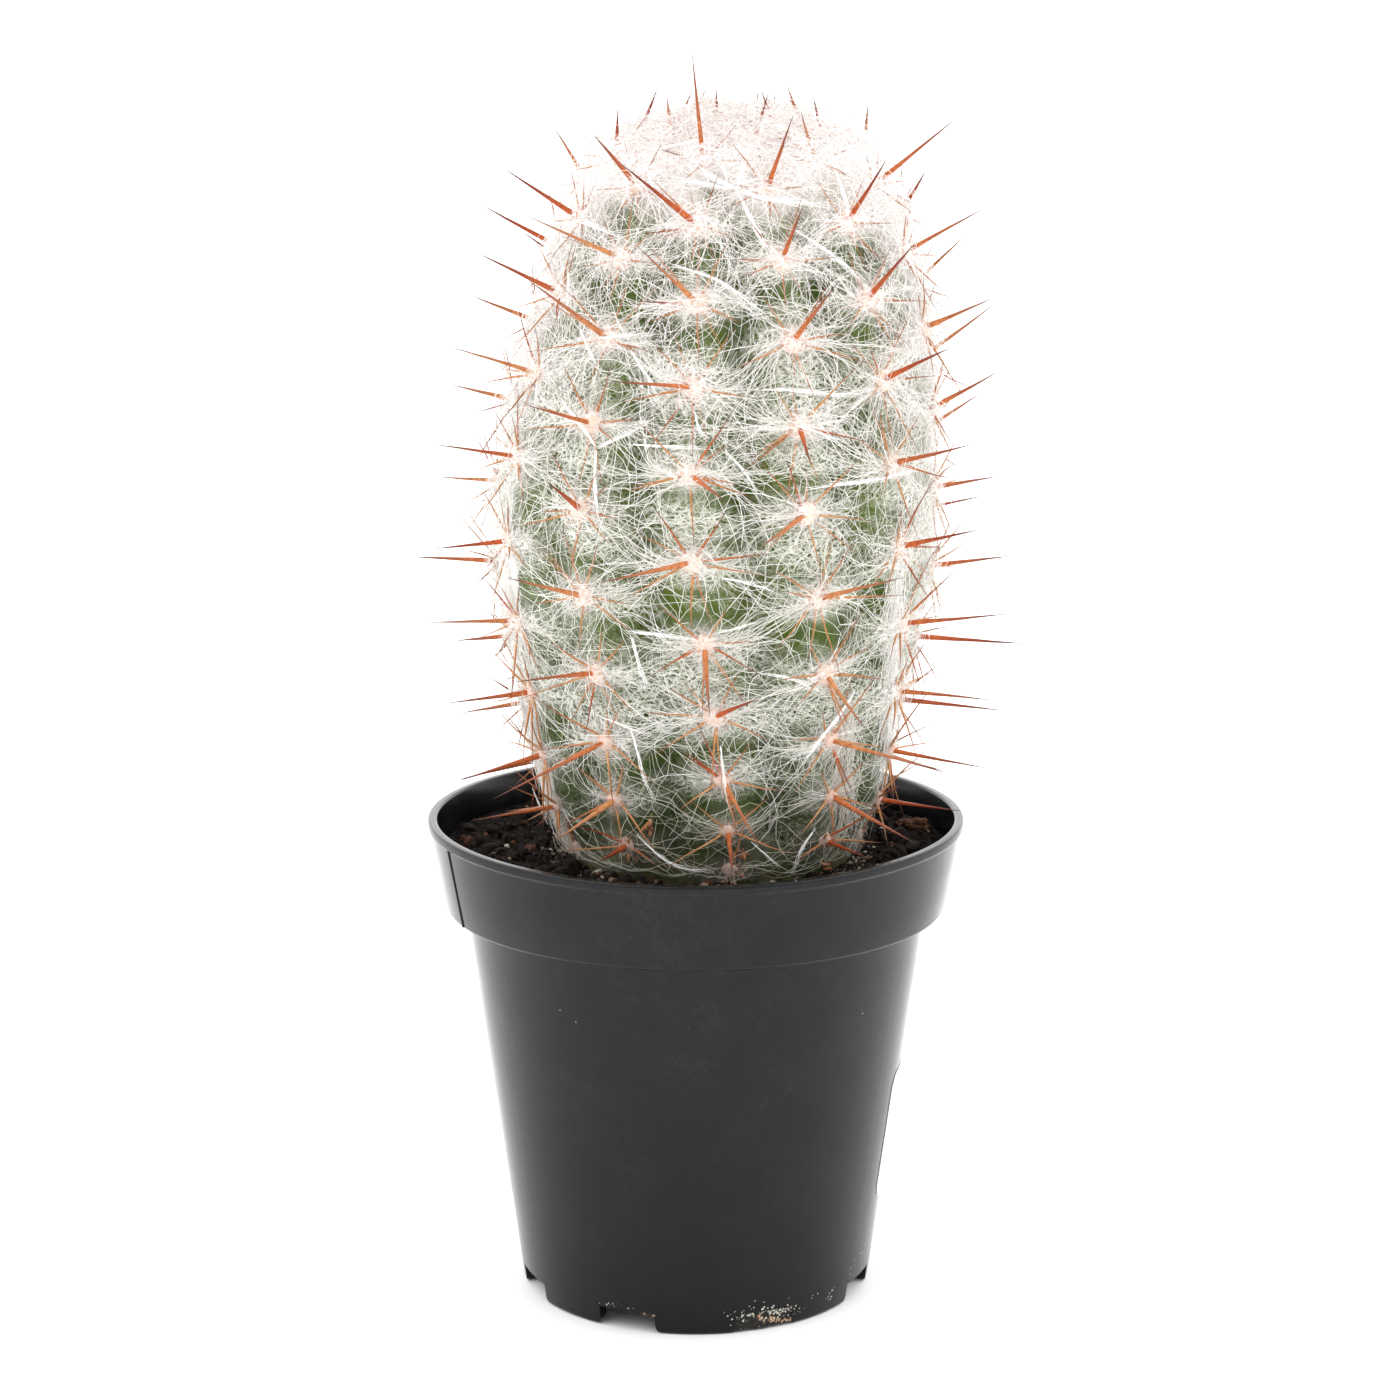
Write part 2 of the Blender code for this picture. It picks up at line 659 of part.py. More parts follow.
def radial_spines(areole):
    """Directions and lengths of the spines that lie round an areole, one for each side of its pad."""
    draws = areole.draws
    youth = youth_at(areole.height)
    for side in range(RADIALS):
        hour = 12 * (side + 0.5) / RADIALS + draws.uniform(-HOUR_DRIFT, HOUR_DRIFT)
        direction = areole.by_clock(hour, draws.uniform(*RADIAL_LEAN))
        yield direction, youth * draws.uniform(*RADIAL_LENGTH)


def cleared(base, tip):
    """Lifts a spine's tip until the whole spine passes over the soil and over the pot's rim."""
    tip = tip.copy()
    shares = [sample / SPINE_SAMPLES for sample in range(1, SPINE_SAMPLES + 1)]
    while any(too_low(base.lerp(tip, share)) for share in shares):
        tip.z += SPINE_LIFT
    return tip


def too_low(point):
    in_rim_zone = RIM_ZONE[0] < math.hypot(point.x, point.y) < RIM_ZONE[1]
    return point.z < (CLEAR_OF_RIM if in_rim_zone else CLEAR_OF_SOIL)


def areole_mesh(areole):
    """A pad sunk into its rib. Its sides rise into the radial spines and its top into the middle one."""
    bm = bmesh.new()
    frame = Matrix((areole.side, areole.up, areole.out)).transposed()
    sizes = (
        (PAD_RADIUS, -PAD_ROOT),
        (PAD_RADIUS, PAD_SHOULDER),
        (PAD_TOP_RADIUS, PAD_HEIGHT),
    )
    rings = []
    for radius, depth in sizes:
        corners = ((radius * math.sin(turn), radius * math.cos(turn), depth) for turn in pad_turns())
        rings.append(add_ring(bm, [areole.centre + frame @ Vector(corner) for corner in corners]))
    root, shoulder, top = rings
    bm.faces.new(root)
    bridge(bm, root, shoulder)
    for side, (direction, length) in enumerate(radial_spines(areole)):
        after = (side + 1) % RADIALS
        base = [shoulder[side], shoulder[after], top[after], top[side]]
        add_spine(bm, base, direction, length)
    add_spine(bm, top, *central_spine(areole))
    return bm


def pad_turns():
    return (math.tau * corner / RADIALS for corner in range(RADIALS))


def add_spine(bm, base, direction, length):
    """A pyramid from a ring of corners to the spine's tip."""
    root = sum((corner.co for corner in base), Vector()) / len(base)
    tip = bm.verts.new(cleared(root, root + direction * length))
    bridge(bm, base, [tip])


def make_cactus(axis):
    cactus = object_from(closed_from_rings(stem_rings()), "cactus", axis)
    pieces = new_pieces("areoles")
    for areole in all_areoles():
        add_piece(pieces, areole_mesh(areole), "areole", axis)
    fuse(cactus, pieces)
    return cactus


def main():
    clear_scene()
    axis = bpy.data.objects.new("pot_axis", None)
    bpy.context.scene.collection.objects.link(axis)
    axis.location = POT_AXIS
    make_pot(axis)
    make_label(axis)
    make_soil(axis)
    make_cactus(axis)


main()
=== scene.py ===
"""The looks of a potted oreocereus: a ribbed, spiny column cactus wrapped in fine white hair, standing
in dark soil in a black plastic nursery pot.

Metres, +Z up, front towards -Y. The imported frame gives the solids. Every piece here is made about the
pot's axis, by the same rules and sizes as its solid, and replaces or covers that solid.
"""

import functools
import math
import random

import bmesh
import bpy
import numpy as np
from mathutils import Matrix, Vector, noise


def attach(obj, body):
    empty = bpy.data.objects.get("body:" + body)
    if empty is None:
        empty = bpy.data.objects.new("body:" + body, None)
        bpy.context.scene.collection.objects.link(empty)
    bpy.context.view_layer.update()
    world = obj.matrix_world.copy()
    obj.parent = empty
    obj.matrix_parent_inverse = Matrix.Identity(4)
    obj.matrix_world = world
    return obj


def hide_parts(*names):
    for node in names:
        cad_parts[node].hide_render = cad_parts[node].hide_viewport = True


MM = 0.001
SEED = 5

# Where the pot's axis stands
POT_AXIS = Vector((-4.4, -0.6, 0.0)) * MM

# Camera: place from the pot's axis, tilt from level, lens on a 36 mm sensor, and the photograph's side
CAMERA_PLACE = Vector((0.83, -624.1, 250.5)) * MM
CAMERA_TILT = math.radians(12.04)
CAMERA_LENS = 84.14
CAMERA_SENSOR = 36.0
PHOTO_SIDE = 1400
PHOTO_FOCAL = CAMERA_LENS / CAMERA_SENSOR * PHOTO_SIDE
RAY_DEPTHS = np.arange(0.540, 0.720, 0.0004)

# Pot
POT_SEGMENTS = 128
POT_HEIGHT = 94.8 * MM
RIM_RADIUS = 52.5 * MM
LIP_HEIGHT = 1.5 * MM
LIP_STEP = 0.5 * MM
COLLAR_BOTTOM = 77.0 * MM
COLLAR_BOTTOM_RADIUS = 49.0 * MM
BODY_TOP_RADIUS = 45.2 * MM
BODY_BOTTOM_RADIUS = 34.6 * MM
BOTTOM_ROUND = 0.7 * MM
WALL = 1.3 * MM
LEDGE_TOP = COLLAR_BOTTOM + WALL
FLOOR_BOTTOM = 4.8 * MM
FLOOR_TOP = 6.1 * MM
SKIRT_WALL = 2.6 * MM
RIM_SAG = 0.9 * MM
RIM_SAG_WIDTH = math.radians(45)
FEET = 8
NOTCH_WIDTH = 11.6 * MM
NOTCH_HEIGHT = 4.0 * MM
FOOT_CORNER = 1.5 * MM
DRAIN_RADIUS = 3.2 * MM
DRAIN_RING = 26.0 * MM
SEAM_ANGLE = math.radians(-65)
SEAM_WIDTH = 0.5 * MM
SEAM_PROUD = 0.22 * MM
SEAM_STEPS = 12

# Label
LABEL_START = math.radians(72)
LABEL_WIDTH = 47.0 * MM
LABEL_BOTTOM = 19.0 * MM
LABEL_HEIGHT = 26.0 * MM
LABEL_CORNER = 2.6 * MM
LABEL_OFF = 0.03 * MM
LABEL_THICKNESS = 0.12 * MM
LABEL_GRID = (40, 10)

# Soil
GAP = 0.35 * MM
SOIL_SEGMENTS = 128
SOIL_RINGS = 22
SOIL_EDGE_Z = 88.2 * MM
SOIL_HOLE_Z = 87.4 * MM
HOLE_RADIUS = 27.7 * MM
HOLE_BOTTOM = 78.0 * MM
SOIL_LUMPS = ((1.6 * MM, 3.6 * MM), (0.7 * MM, 1.5 * MM))

# Stem: radius and height along the crest of a rib, from the root crown to the tip
CREST_OUTLINE = (
    (27.2, 78.4), (27.2, 88.0), (30.4, 97.0), (33.4, 107.0), (37.2, 127.0), (40.2, 143.0),
    (40.7, 152.0), (39.9, 166.0), (37.6, 182.0), (34.6, 195.0), (32.0, 205.0), (28.8, 214.0),
    (23.5, 221.5), (13.0, 226.0), (0.0, 227.2),
)
CREST_STEPS = 12
SLOPE_STEP = 0.5 * MM
ROOT_CROWN_TOP = 86.0 * MM
RIBS_FULL_Z = 99.0 * MM
STEM_X_LOW = 3.3 * MM
STEM_X_HIGH = 7.5 * MM
STEM_BEND = (150.0 * MM, 205.0 * MM)
RIBS = 12
RIB_ANGLE = math.tau / RIBS
FIRST_RIB = math.radians(-5)
RIB_DEPTH = 0.19
RIB_ROUNDNESS = 0.8
TWIST_MIDDLE = 150.0 * MM
TWIST_REACH = 55.0 * MM
TWIST_LIMITS = (-1.4, 1.1)
TWIST_LOW = (math.radians(12), math.radians(15))
TWIST_HIGH = (math.radians(8), math.radians(8))
BUMP_HEIGHT = 1.1 * MM
BUMP_LENGTH = 4.5 * MM
SKIN_COLUMNS_PER_RIB = 12
SKIN_ROW = 2.0 * MM

# Areoles and spines
FIRST_AREOLE = 91.0 * MM
AREOLE_SPACING = 15.8 * MM
SPACING_LOSS_LOW = 7.0 * MM
SPACING_REACH_LOW = 60.0 * MM
SPACING_LOSS_HIGH = 3.5 * MM
SPACING_REACH_HIGH = 70.0 * MM
LOWEST_PAD = 93.0 * MM
INNERMOST_PAD = 10.0 * MM
CROWN_ROOM = 24.0 * MM
PAD_RADIUS = 2.0 * MM
PAD_TOP_RADIUS = 0.8 * MM
PAD_HEIGHT = 1.0 * MM
PAD_SHOULDER = 0.2 * MM
RADIALS = 5
RADIAL_LENGTH = (9.5 * MM, 15.0 * MM)
RADIAL_LEAN = (math.radians(60), math.radians(76))
HOUR_DRIFT = 0.4
EXTRA_RADIALS = 3
EXTRA_LENGTH = (7.0 * MM, 15.0 * MM)
EXTRA_LEAN = (math.radians(70), math.radians(88))
CENTRAL_LENGTH = (12.0 * MM, 18.0 * MM)
CENTRAL_RISE = (-0.5, 0.9)
CENTRAL_RISE_DRIFT = 0.25
CENTRAL_SIDE_DRIFT = 0.6
CROWN = (192.0 * MM, 222.0 * MM)
CROWN_LENGTH = 0.6
CLEAR_OF_SOIL = 92.6 * MM
CLEAR_OF_RIM = 97.4 * MM
RIM_ZONE = (46.0 * MM, 55.0 * MM)
SPINE_LIFT = 1.0 * MM
SPINE_SAMPLES = 8

# The long middle spines that show at the front: for each rib the step from the soil of the first one,
# then them all, upwards. Each has the hour of the clock that it points to as seen from the front, how
# far it leans that way from straight out, and its length in millimetres.
FRONT_SPINES = {
    0: (1, (6.0, 0.6, 11), (4.7, 0.9, 16), (1.4, 0.9, 17), (5.7, 0.8, 15), (8.8, 1.2, 21), (4.0, 0.8, 13),
        (9.0, 1.0, 19), (10.5, 0.9, 19), (10.1, 1.0, 21), (12.0, 0.6, 21)),
    1: (0, (4.6, 0.6, 11), (3.9, 0.9, 18), (3.1, 0.9, 24), (5.5, 0.7, 14), (1.5, 0.8, 20), (8.4, 1.0, 18),
        (6.7, 0.6, 13), (12.8, 0.7, 18), (12.2, 0.6, 16), (12.6, 0.6, 17)),
    2: (1, (4.0, 0.5, 17), (3.1, 0.6, 19), (2.5, 0.5, 18), (1.9, 0.8, 20), (1.7, 0.6, 16), (2.0, 0.6, 16),
        (1.4, 0.6, 15), (11.8, 0.6, 16), (11.8, 0.6, 16)),
    3: (1, (4.0, 0.4, 15), (3.0, 0.3, 22), (2.6, 0.4, 22), (1.9, 0.6, 15), (2.0, 0.4, 12), (1.1, 0.8, 14),
        (1.6, 0.6, 14), (1.4, 0.7, 17), (1.2, 0.5, 19)),
    11: (0, (6.5, 0.6, 11), (8.0, 0.7, 15), (8.2, 1.1, 24), (9.8, 0.6, 17), (10.3, 1.0, 16), (12.5, 0.5, 13),
         (10.0, 0.5, 15), (10.8, 0.8, 20), (9.9, 0.9, 21), (11.1, 0.5, 14)),
    10: (1, (8.4, 0.5, 17), (8.4, 0.5, 17), (9.3, 0.5, 16), (10.0, 0.5, 17), (8.6, 0.5, 14), (9.6, 0.5, 16),
         (10.0, 0.6, 17), (10.6, 0.6, 17), (10.8, 0.6, 17)),
    9: (1, (8.4, 0.4, 16), (8.6, 0.4, 13), (9.2, 0.4, 11), (9.9, 0.4, 17), (9.0, 0.4, 11), (9.8, 0.4, 12),
        (10.2, 0.5, 13), (10.6, 0.6, 16)),
}

# Hair: its lowest height, how far it strays sideways and up from its areole, how much its heading wanders
# at each step, and the height and lift of its outline over the crests
HAIR_FLOOR = 88.9 * MM
HAIR_DRIFT = (6.0 * MM, 4.0 * MM)
HAIR_WANDER = 0.1
OUTLINE_LIFTS = (
    (88.0, 1.4), (107.0, 1.8), (127.0, 2.3), (147.0, 2.9), (166.0, 2.9), (186.0, 2.9), (195.0, 3.2),
    (205.0, 3.4), (214.0, 3.3), (227.0, 4.6),
)
# Layers of down: name, share of the outline's lift, how far it sinks into the valleys, strength of its
# fibres, mist over the crown and mist over the pads
DOWN_LAYERS = (
    ("down_inner", 0.22, 0.85, 0.50, 0.80, 0.0),
    ("down_middle", 0.60, 0.35, 0.66, 0.45, 0.35),
    ("down_outer", 1.00, 0.08, 0.58, 0.26, 0.22),
)
DOWN_COLUMNS = 132
DOWN_ROW = 2.2 * MM
# Uneven thickness of the hair: waves over the stem, longest sideways, that leave windows of bare skin
UNEVEN_WAVES = 10
UNEVEN_LENGTH = np.array([16.0, 16.0, 8.0]) * MM
# Hair by height: name, low edge, long hairs and short hairs of an areole, and thickness
HAIR_ZONES = (
    ("hair_low", 84.0, 16, 10, 0.10),
    ("hair_middle", 116.0, 60, 20, 0.13),
    ("hair_high", 163.0, 84, 26, 0.13),
    ("hair_crown", 204.0, 60, 22, 0.12),
)
# The tubes that strands are swept to: sides, points along each, share of the thickness that is left at
# the tip, power of the taper, height and size of the small waves in millimetres, and seed of the waves
TUBES = {
    "areole_wool": (3, 3, 0.3, 1.5, 0.3, 1.5, 1),
    "spines_middle": (6, 8, 0.06, 1.1, 0.08, 3.0, 2),
    "spines_around": (4, 6, 0.10, 1.2, 0.45, 6.0, 3),
    "hair": (3, 9, 0.5, 2.0, 1.4, 5.0, 4),
    "hair_fuzz": (3, 6, 0.4, 2.0, 1.0, 3.0, 5),
    "bright_strands": (3, 9, 0.4, 2.5, 0.9, 4.0, 6),
    "dried_nubs": (5, 4, 0.5, 1.5, 0.5, 1.5, 7),
}
# Bright glued strands that stand out of the hair, by the pixels of the photograph where each starts,
# bends and ends, after its width in millimetres
BRIGHT_STRANDS = {
    "star_up_left": (0.9, (737, 190), (714, 180), (698, 171), (687, 162)),
    "star_up": (0.7, (737, 190), (740, 177), (747, 155), (748, 143)),
    "star_left": (0.8, (737, 190), (714, 188), (687, 180), (664, 177)),
    "star_right": (1.1, (737, 190), (756, 198), (784, 202), (812, 202), (840, 208)),
    "star_down": (1.1, (737, 190), (745, 208), (756, 230), (770, 250), (779, 264)),
    "star_tip": (0.4, (728, 183), (723, 166), (717, 152)),
    "top_arc": (0.6, (650, 152), (675, 145), (701, 141), (726, 136), (748, 142)),
    "top_loop": (0.5, (655, 192), (647, 172), (646, 160), (653, 150)),
    "high_right": (0.9, (790, 227), (826, 250), (849, 269), (871, 291), (890, 308)),
    "high_middle": (0.7, (670, 264), (698, 272), (723, 280), (740, 294), (756, 308), (770, 322), (790, 336)),
    "band_right": (0.8, (759, 390), (787, 388), (815, 392), (840, 398), (860, 392), (884, 386)),
    "shoulder_left": (0.7, (572, 220), (603, 229), (618, 237), (634, 246)),
    "drop_left": (0.5, (568, 261), (569, 294), (563, 325)),
    "drop_inner": (0.5, (580, 328), (589, 350), (600, 372)),
    "band_left": (0.6, (596, 339), (631, 335), (667, 335)),
    "drop_middle": (0.5, (631, 350), (642, 370), (653, 384), (661, 408)),
    "fork_up_left": (0.8, (597, 448), (580, 423), (559, 398)),
    "fork_right": (0.8, (597, 448), (614, 440), (639, 428), (661, 412)),
    "fork_down": (1.0, (597, 448), (594, 473), (596, 501), (598, 520), (605, 537)),
    "level_middle": (0.7, (626, 444), (659, 446), (692, 448), (722, 448)),
    "loop_down": (0.5, (722, 448), (742, 468), (754, 487), (758, 508)),
    "short_down": (0.5, (695, 412), (698, 431), (714, 446)),
    "shelf_right": (0.9, (799, 490), (826, 484), (854, 484), (882, 480), (910, 470), (932, 462)),
    "slant_right": (0.6, (796, 424), (821, 434), (849, 446)),
    "edge_right": (0.5, (826, 152), (837, 174), (846, 199), (854, 238), (854, 263)),
    "low_level": (0.8, (625, 631), (653, 633), (675, 637), (702, 642)),
    "low_drop": (0.5, (631, 632), (639, 665), (653, 704)),
    "base_drop": (0.6, (631, 727), (639, 757), (647, 788), (660, 804)),
    "low_slant": (0.4, (714, 634), (742, 626), (772, 618)),
    "low_right": (0.6, (759, 673), (787, 676), (815, 687), (828, 702)),
    "right_fall": (0.7, (856, 690), (835, 721), (812, 749), (793, 779)),
    "middle_fall": (0.5, (720, 743), (723, 771), (727, 799), (729, 815)),
    "left_shelf": (0.5, (597, 715), (631, 729), (664, 740)),
    "upper_level": (0.5, (720, 578), (742, 581), (770, 590), (783, 599)),
    "base_left": (0.5, (636, 833), (657, 855), (675, 868), (716, 871)),
    "base_right": (0.5, (815, 827), (801, 849), (790, 874)),
    "base_middle": (0.4, (751, 841), (770, 858), (787, 871)),
}
# The same strands go round the stem, turned by these degrees, at this lift over the crests
STRAND_TURNS = (0.0, 118.0, 236.0)
STRAND_LIFT = 3.6 * MM
# Tracks of combed hair down the sides of the stem, by their pixels in the photograph, after their
# width in millimetres, their count of hairs and their tone
COMBED_TRACKS = {
    "left_crest": (3.8, 300, -0.2, (508, 480), (512, 560), (514, 620), (524, 692), (532, 748), (548, 788),
                   (562, 845)),
    "left_skirt": (2.6, 90, 0.0, (533, 738), (543, 790), (556, 830), (578, 868)),
    "left_mat": (4.5, 110, 0.65, (550, 800), (562, 832), (578, 868)),
    "right_crest": (3.6, 220, -0.2, (905, 520), (893, 600), (890, 680), (886, 750), (874, 815)),
    "right_mat": (4.0, 150, 0.45, (850, 690), (842, 760), (843, 815), (836, 862)),
}
# Old dried areoles near the soil, by their pixels in the photograph
DRIED_NUBS = {
    "front": (740, 866), "left": (635, 850), "right": (822, 866), "inner_left": (650, 824),
    "front_high": (741, 852),
}
# Dust and crusts on the pot, by the pixels of the photograph between which they lie: how far they
# spread in pixels, how many grains, the smallest and largest in millimetres, and their tone. The same
# lie on the far side, and none lies under the lowest height.
POT_MARKS = {
    "white rim of the left notch": ((600, 1303), (640, 1309), 1.0, 80, 0.12, 0.34, 0.2),
    "brown end of the left notch": ((643, 1312), (662, 1318), 1.0, 20, 0.10, 0.28, 0.9),
    "cream lump in the right notch": ((761, 1307), (784, 1312), 2.6, 120, 0.14, 0.42, 0.2),
    "tan crust in the right notch": ((758, 1318), (790, 1321), 1.5, 90, 0.12, 0.34, 0.8),
    "grey flecks in the right notch": ((728, 1317), (762, 1308), 4.0, 170, 0.10, 0.30, 0.3),
    "pale flecks beside the lump": ((786, 1305), (800, 1312), 4.0, 90, 0.10, 0.28, 0.3),
    "curved scratch": ((810, 1298), (819, 1293), 0.8, 26, 0.10, 0.20, 0.3),
    "upright streak": ((828, 1300), (835, 1286), 1.0, 60, 0.10, 0.26, 0.3),
    "dirt on the right wall": ((842, 1283), (869, 1246), 2.2, 110, 0.10, 0.28, 0.7),
    "chip at the left foot": ((524, 1276), (526, 1279), 0.6, 8, 0.12, 0.28, 0.9),
}
POT_DUST = ((545, 905), (625, 930), (728, 931), (796, 881), (835, 887), (884, 892), (826, 923), (560, 1010))
MARK_TURNS = (0.0, math.pi)
LOWEST_MARK = 0.6 * MM
PLUG_ANGLES = (math.radians(22.5), math.pi + math.radians(22.5))
PLUG_GRID = (24, 8)
# What is strewn on the soil: slot, finish, count to a square metre, smallest and largest in millimetres,
# flatness, subdivisions, seed, and how many of the soil's rings it lies on, counted from the stem
STREWN = {
    "soil_lumps": ("soil_mix", "crumb_bark", 50000, 0.9, 2.2, 0.7, 2, 11, 22),
    "soil_crumbs": ("soil_mix", "crumb_bark", 450000, 0.25, 0.9, 0.8, 1, 12, 22),
    "perlite_grains": ("perlite", "perlite_white", 3500, 0.3, 1.1, 0.9, 2, 13, 22),
    "stem_litter": ("soil_mix", "litter_tan", 600000, 0.2, 0.8, 0.7, 1, 14, 6),
}
# Larger things that lie on the soil: place from the pot's axis and half sizes in millimetres, turn in
# degrees, slot and finish
SOIL_CHIPS = {
    "bark_chip": ((43.5, 12.5), (3.1, 2.4, 1.5), 15.0, "soil_mix", "bark_chip"),
    "orange_nub": ((-32.5, -4.0), (1.1, 0.9, 0.9), 40.0, "soil_mix", "bark_chip"),
    "reddish_bit": ((-44.0, -9.0), (1.2, 0.7, 0.5), 70.0, "soil_mix", "bark_chip"),
    "cream_chip_one": ((-37.5, 0.5), (0.9, 0.6, 0.4), 20.0, "perlite", "perlite_white"),
    "cream_chip_two": ((-39.5, -7.0), (0.6, 0.5, 0.35), 60.0, "perlite", "perlite_white"),
    "bark_flake": ((-24.0, 37.0), (2.6, 1.6, 0.8), 110.0, "soil_mix", "bark_chip"),
    "bark_crumb": ((16.0, 41.0), (1.8, 1.5, 1.0), 35.0, "soil_mix", "bark_chip"),
}

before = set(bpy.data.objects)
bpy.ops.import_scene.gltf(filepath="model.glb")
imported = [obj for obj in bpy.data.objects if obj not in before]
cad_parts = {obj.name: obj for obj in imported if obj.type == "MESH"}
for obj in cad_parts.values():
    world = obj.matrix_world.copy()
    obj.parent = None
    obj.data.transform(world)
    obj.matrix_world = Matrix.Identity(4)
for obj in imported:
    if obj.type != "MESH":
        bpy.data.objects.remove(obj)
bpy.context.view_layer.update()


# Plain helpers


def lerp(a, b, t):
    return a + (b - a) * t


def ramp(value, low, high):
    """A smooth step from 0 at low to 1 at high, for numbers and arrays."""
    t = np.clip((value - low) / (high - low), 0.0, 1.0)
    return t * t * (3 - 2 * t)


def about_axis(radius, angle, z, centre_x=0.0):
    """A point by its angle from the front, turning towards +X."""
    return Vector((centre_x + radius * math.sin(angle), -radius * math.cos(angle), z))


def dots(a, b):
    return (a * b).sum(axis=1, keepdims=True)


def unit(vectors):
    return vectors / np.maximum(np.linalg.norm(vectors, axis=1, keepdims=True), 1e-9)


# Making objects


def linked(name, data):
    obj = bpy.data.objects.new(name, data)
    bpy.context.scene.collection.objects.link(obj)
    return obj


def piece_from(mesh, name, slot, material=None, replaces=None):
    """A finished piece: its place is moved from the pot's axis into its mesh, and it rides on the root."""
    obj = linked(name, mesh)
    mesh.transform(Matrix.Translation(POT_AXIS))
    if material:
        mesh.materials.clear()
        mesh.materials.append(finish(material))
    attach(obj, "root")
    if replaces:
        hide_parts(replaces)


def grow(name, slot, guide, tree, material, replaces=None, **values):
    """Runs a geometry tree on a guide mesh, and makes a piece of the plain mesh that comes out."""
    obj = linked("guide", guide)
    modifier = obj.modifiers.new(tree, "NODES")
    modifier.node_group = TREES[tree]
    values["material"] = finish(material)
    for item in TREES[tree].interface.items_tree:
        label = item.name.lower().replace(" ", "_")
        if item.in_out == "INPUT" and label in values:
            is_float = item.socket_type == "NodeSocketFloat"
            modifier[item.identifier] = float(values[label]) if is_float else values[label]
    graph = bpy.context.evaluated_depsgraph_get()
    made = bpy.data.meshes.new_from_object(obj.evaluated_get(graph))
    obj.modifiers.remove(modifier)
    bpy.data.objects.remove(obj)
    piece_from(made, name, slot, replaces=replaces)


def mark(mesh, **marks):
    """Stores a number or a direction for each point of a mesh."""
    for label, values in marks.items():
        values = np.asarray(values, np.float32)
        kind, field = ("FLOAT", "value") if values.ndim == 1 else ("FLOAT_VECTOR", "vector")
        mesh.attributes.new(label, kind, "POINT").data.foreach_set(field, values.ravel())
    return mesh


def mesh_from(bm, name):
    bmesh.ops.recalc_face_normals(bm, faces=bm.faces)
    mesh = bpy.data.meshes.new(name)
    bm.to_mesh(mesh)
    bm.free()
    return sharpened(mesh)


def sharpened(mesh):
    mesh.shade_smooth()
    mesh.set_sharp_from_angle(angle=math.radians(40))
    return mesh


def bridge(bm, lower, upper):
    """Quads from one ring to the next, or triangles where one of them is a single point."""
    for i in range(max(len(lower), len(upper))):
        corners = []
        for ring, steps in ((lower, (0, 1)), (upper, (1, 0))):
            if len(ring) == 1:
                corners.append(ring[0])
            else:
                corners.extend(ring[(i + step) % len(ring)] for step in steps)
        bm.faces.new(corners)


def skinned(rings, bm=None, capped=False):
    """A skin over rings of points, with its first and last ring closed by a face if it is capped."""
    bm = bmesh.new() if bm is None else bm
    made =[[bm.verts.new(point) for point in ring] for ring in rings]
    for lower, upper in zip(made, made[1:]):
        bridge(bm, lower, upper)
    if capped:
        bm.faces.new(made[0])
        bm.faces.new(made[-1])
    return bm


def curved_sheet(name, slot, material, columns, rows, offs, point_at, replaces=None):
    """A thin closed sheet between two offs, with its points by column, row and off."""
    bm = bmesh.new()
    edges = []
    for off in offs:
        grid = [
            [bm.verts.new(point_at(column, row, off)) for row in range(rows + 1)] for column in range(columns + 1)
        ]
        for one, other in zip(grid, grid[1:]):
            for row in range(rows):
                bm.faces.new((one[row], one[row + 1], other[row + 1], other[row]))
        edge = [line[0] for line in grid[:-1]] + grid[-1][:-1]
        edges.append(edge + [line[-1] for line in grid[:0:-1]] + grid[0][:0:-1])
    bridge(bm, *edges)
    piece_from(mesh_from(bm, name), name, slot, material, replaces)


# Building node trees


class Wire:
    """What comes out of a node. Sums, products and powers of wires add math nodes to their net."""

    def __init__(self, net, socket):
        self.net, self.socket = net, socket

    def __add__(self, other):
        return self.net.math("ADD", self, other)

    def __sub__(self, other):
        return self.net.math("SUBTRACT", self, other)

    def __rsub__(self, other):
        return self.net.math("SUBTRACT", other, self)

    def __mul__(self, other):
        return self.net.math("MULTIPLY", self, other)

    def __rtruediv__(self, other):
        return self.net.math("DIVIDE", other, self)

    def __pow__(self, other):
        return self.net.math("POWER", self, other)


class Net:
    """A node tree under construction."""

    def __init__(self, tree):
        self.tree = tree

    def add(self, kind, inputs=None, output=0, **settings):
        """Adds a node for one of its outputs. Each input is a fixed value, or the wire that feeds it."""
        node = self.tree.nodes.new(kind)
        for name, value in settings.items():
            setattr(node, name, value)
        for key, value in (inputs or {}).items():
            self.feed(node.inputs[key], value)
        return Wire(self, node.outputs[output])

    def feed(self, socket, value):
        if isinstance(value, Wire):
            self.tree.links.new(value.socket, socket)
        else:
            socket.default_value = value

    def math(self, operation, *values):
        return self.add("ShaderNodeMath", dict(enumerate(values)), operation=operation)

    def vector(self, operation, one, other):
        inputs = {0: one, "Scale" if operation == "SCALE" else 1: other}
        return self.add("ShaderNodeVectorMath", inputs, operation=operation)

    def between(self, value, low, high, start=0.0, end=1.0):
        """From start where the value is low to end where it is high, and linear in between."""
        inputs = {"Value": value, "From Min": low, "From Max": high, "To Min": start, "To Max": end}
        return self.add("ShaderNodeMapRange", inputs)

    def cloud(self, vector, size, detail, output="Fac", own=None, **more):
        """Noise over a place, and over a number of its own if there is one."""
        inputs = {"Vector": vector, "Scale": 1.0 / size, "Detail": detail, **more}
        if own is None:
            return self.add("ShaderNodeTexNoise", inputs, output)
        return self.add("ShaderNodeTexNoise", {"W": own, **inputs}, output, noise_dimensions="4D")


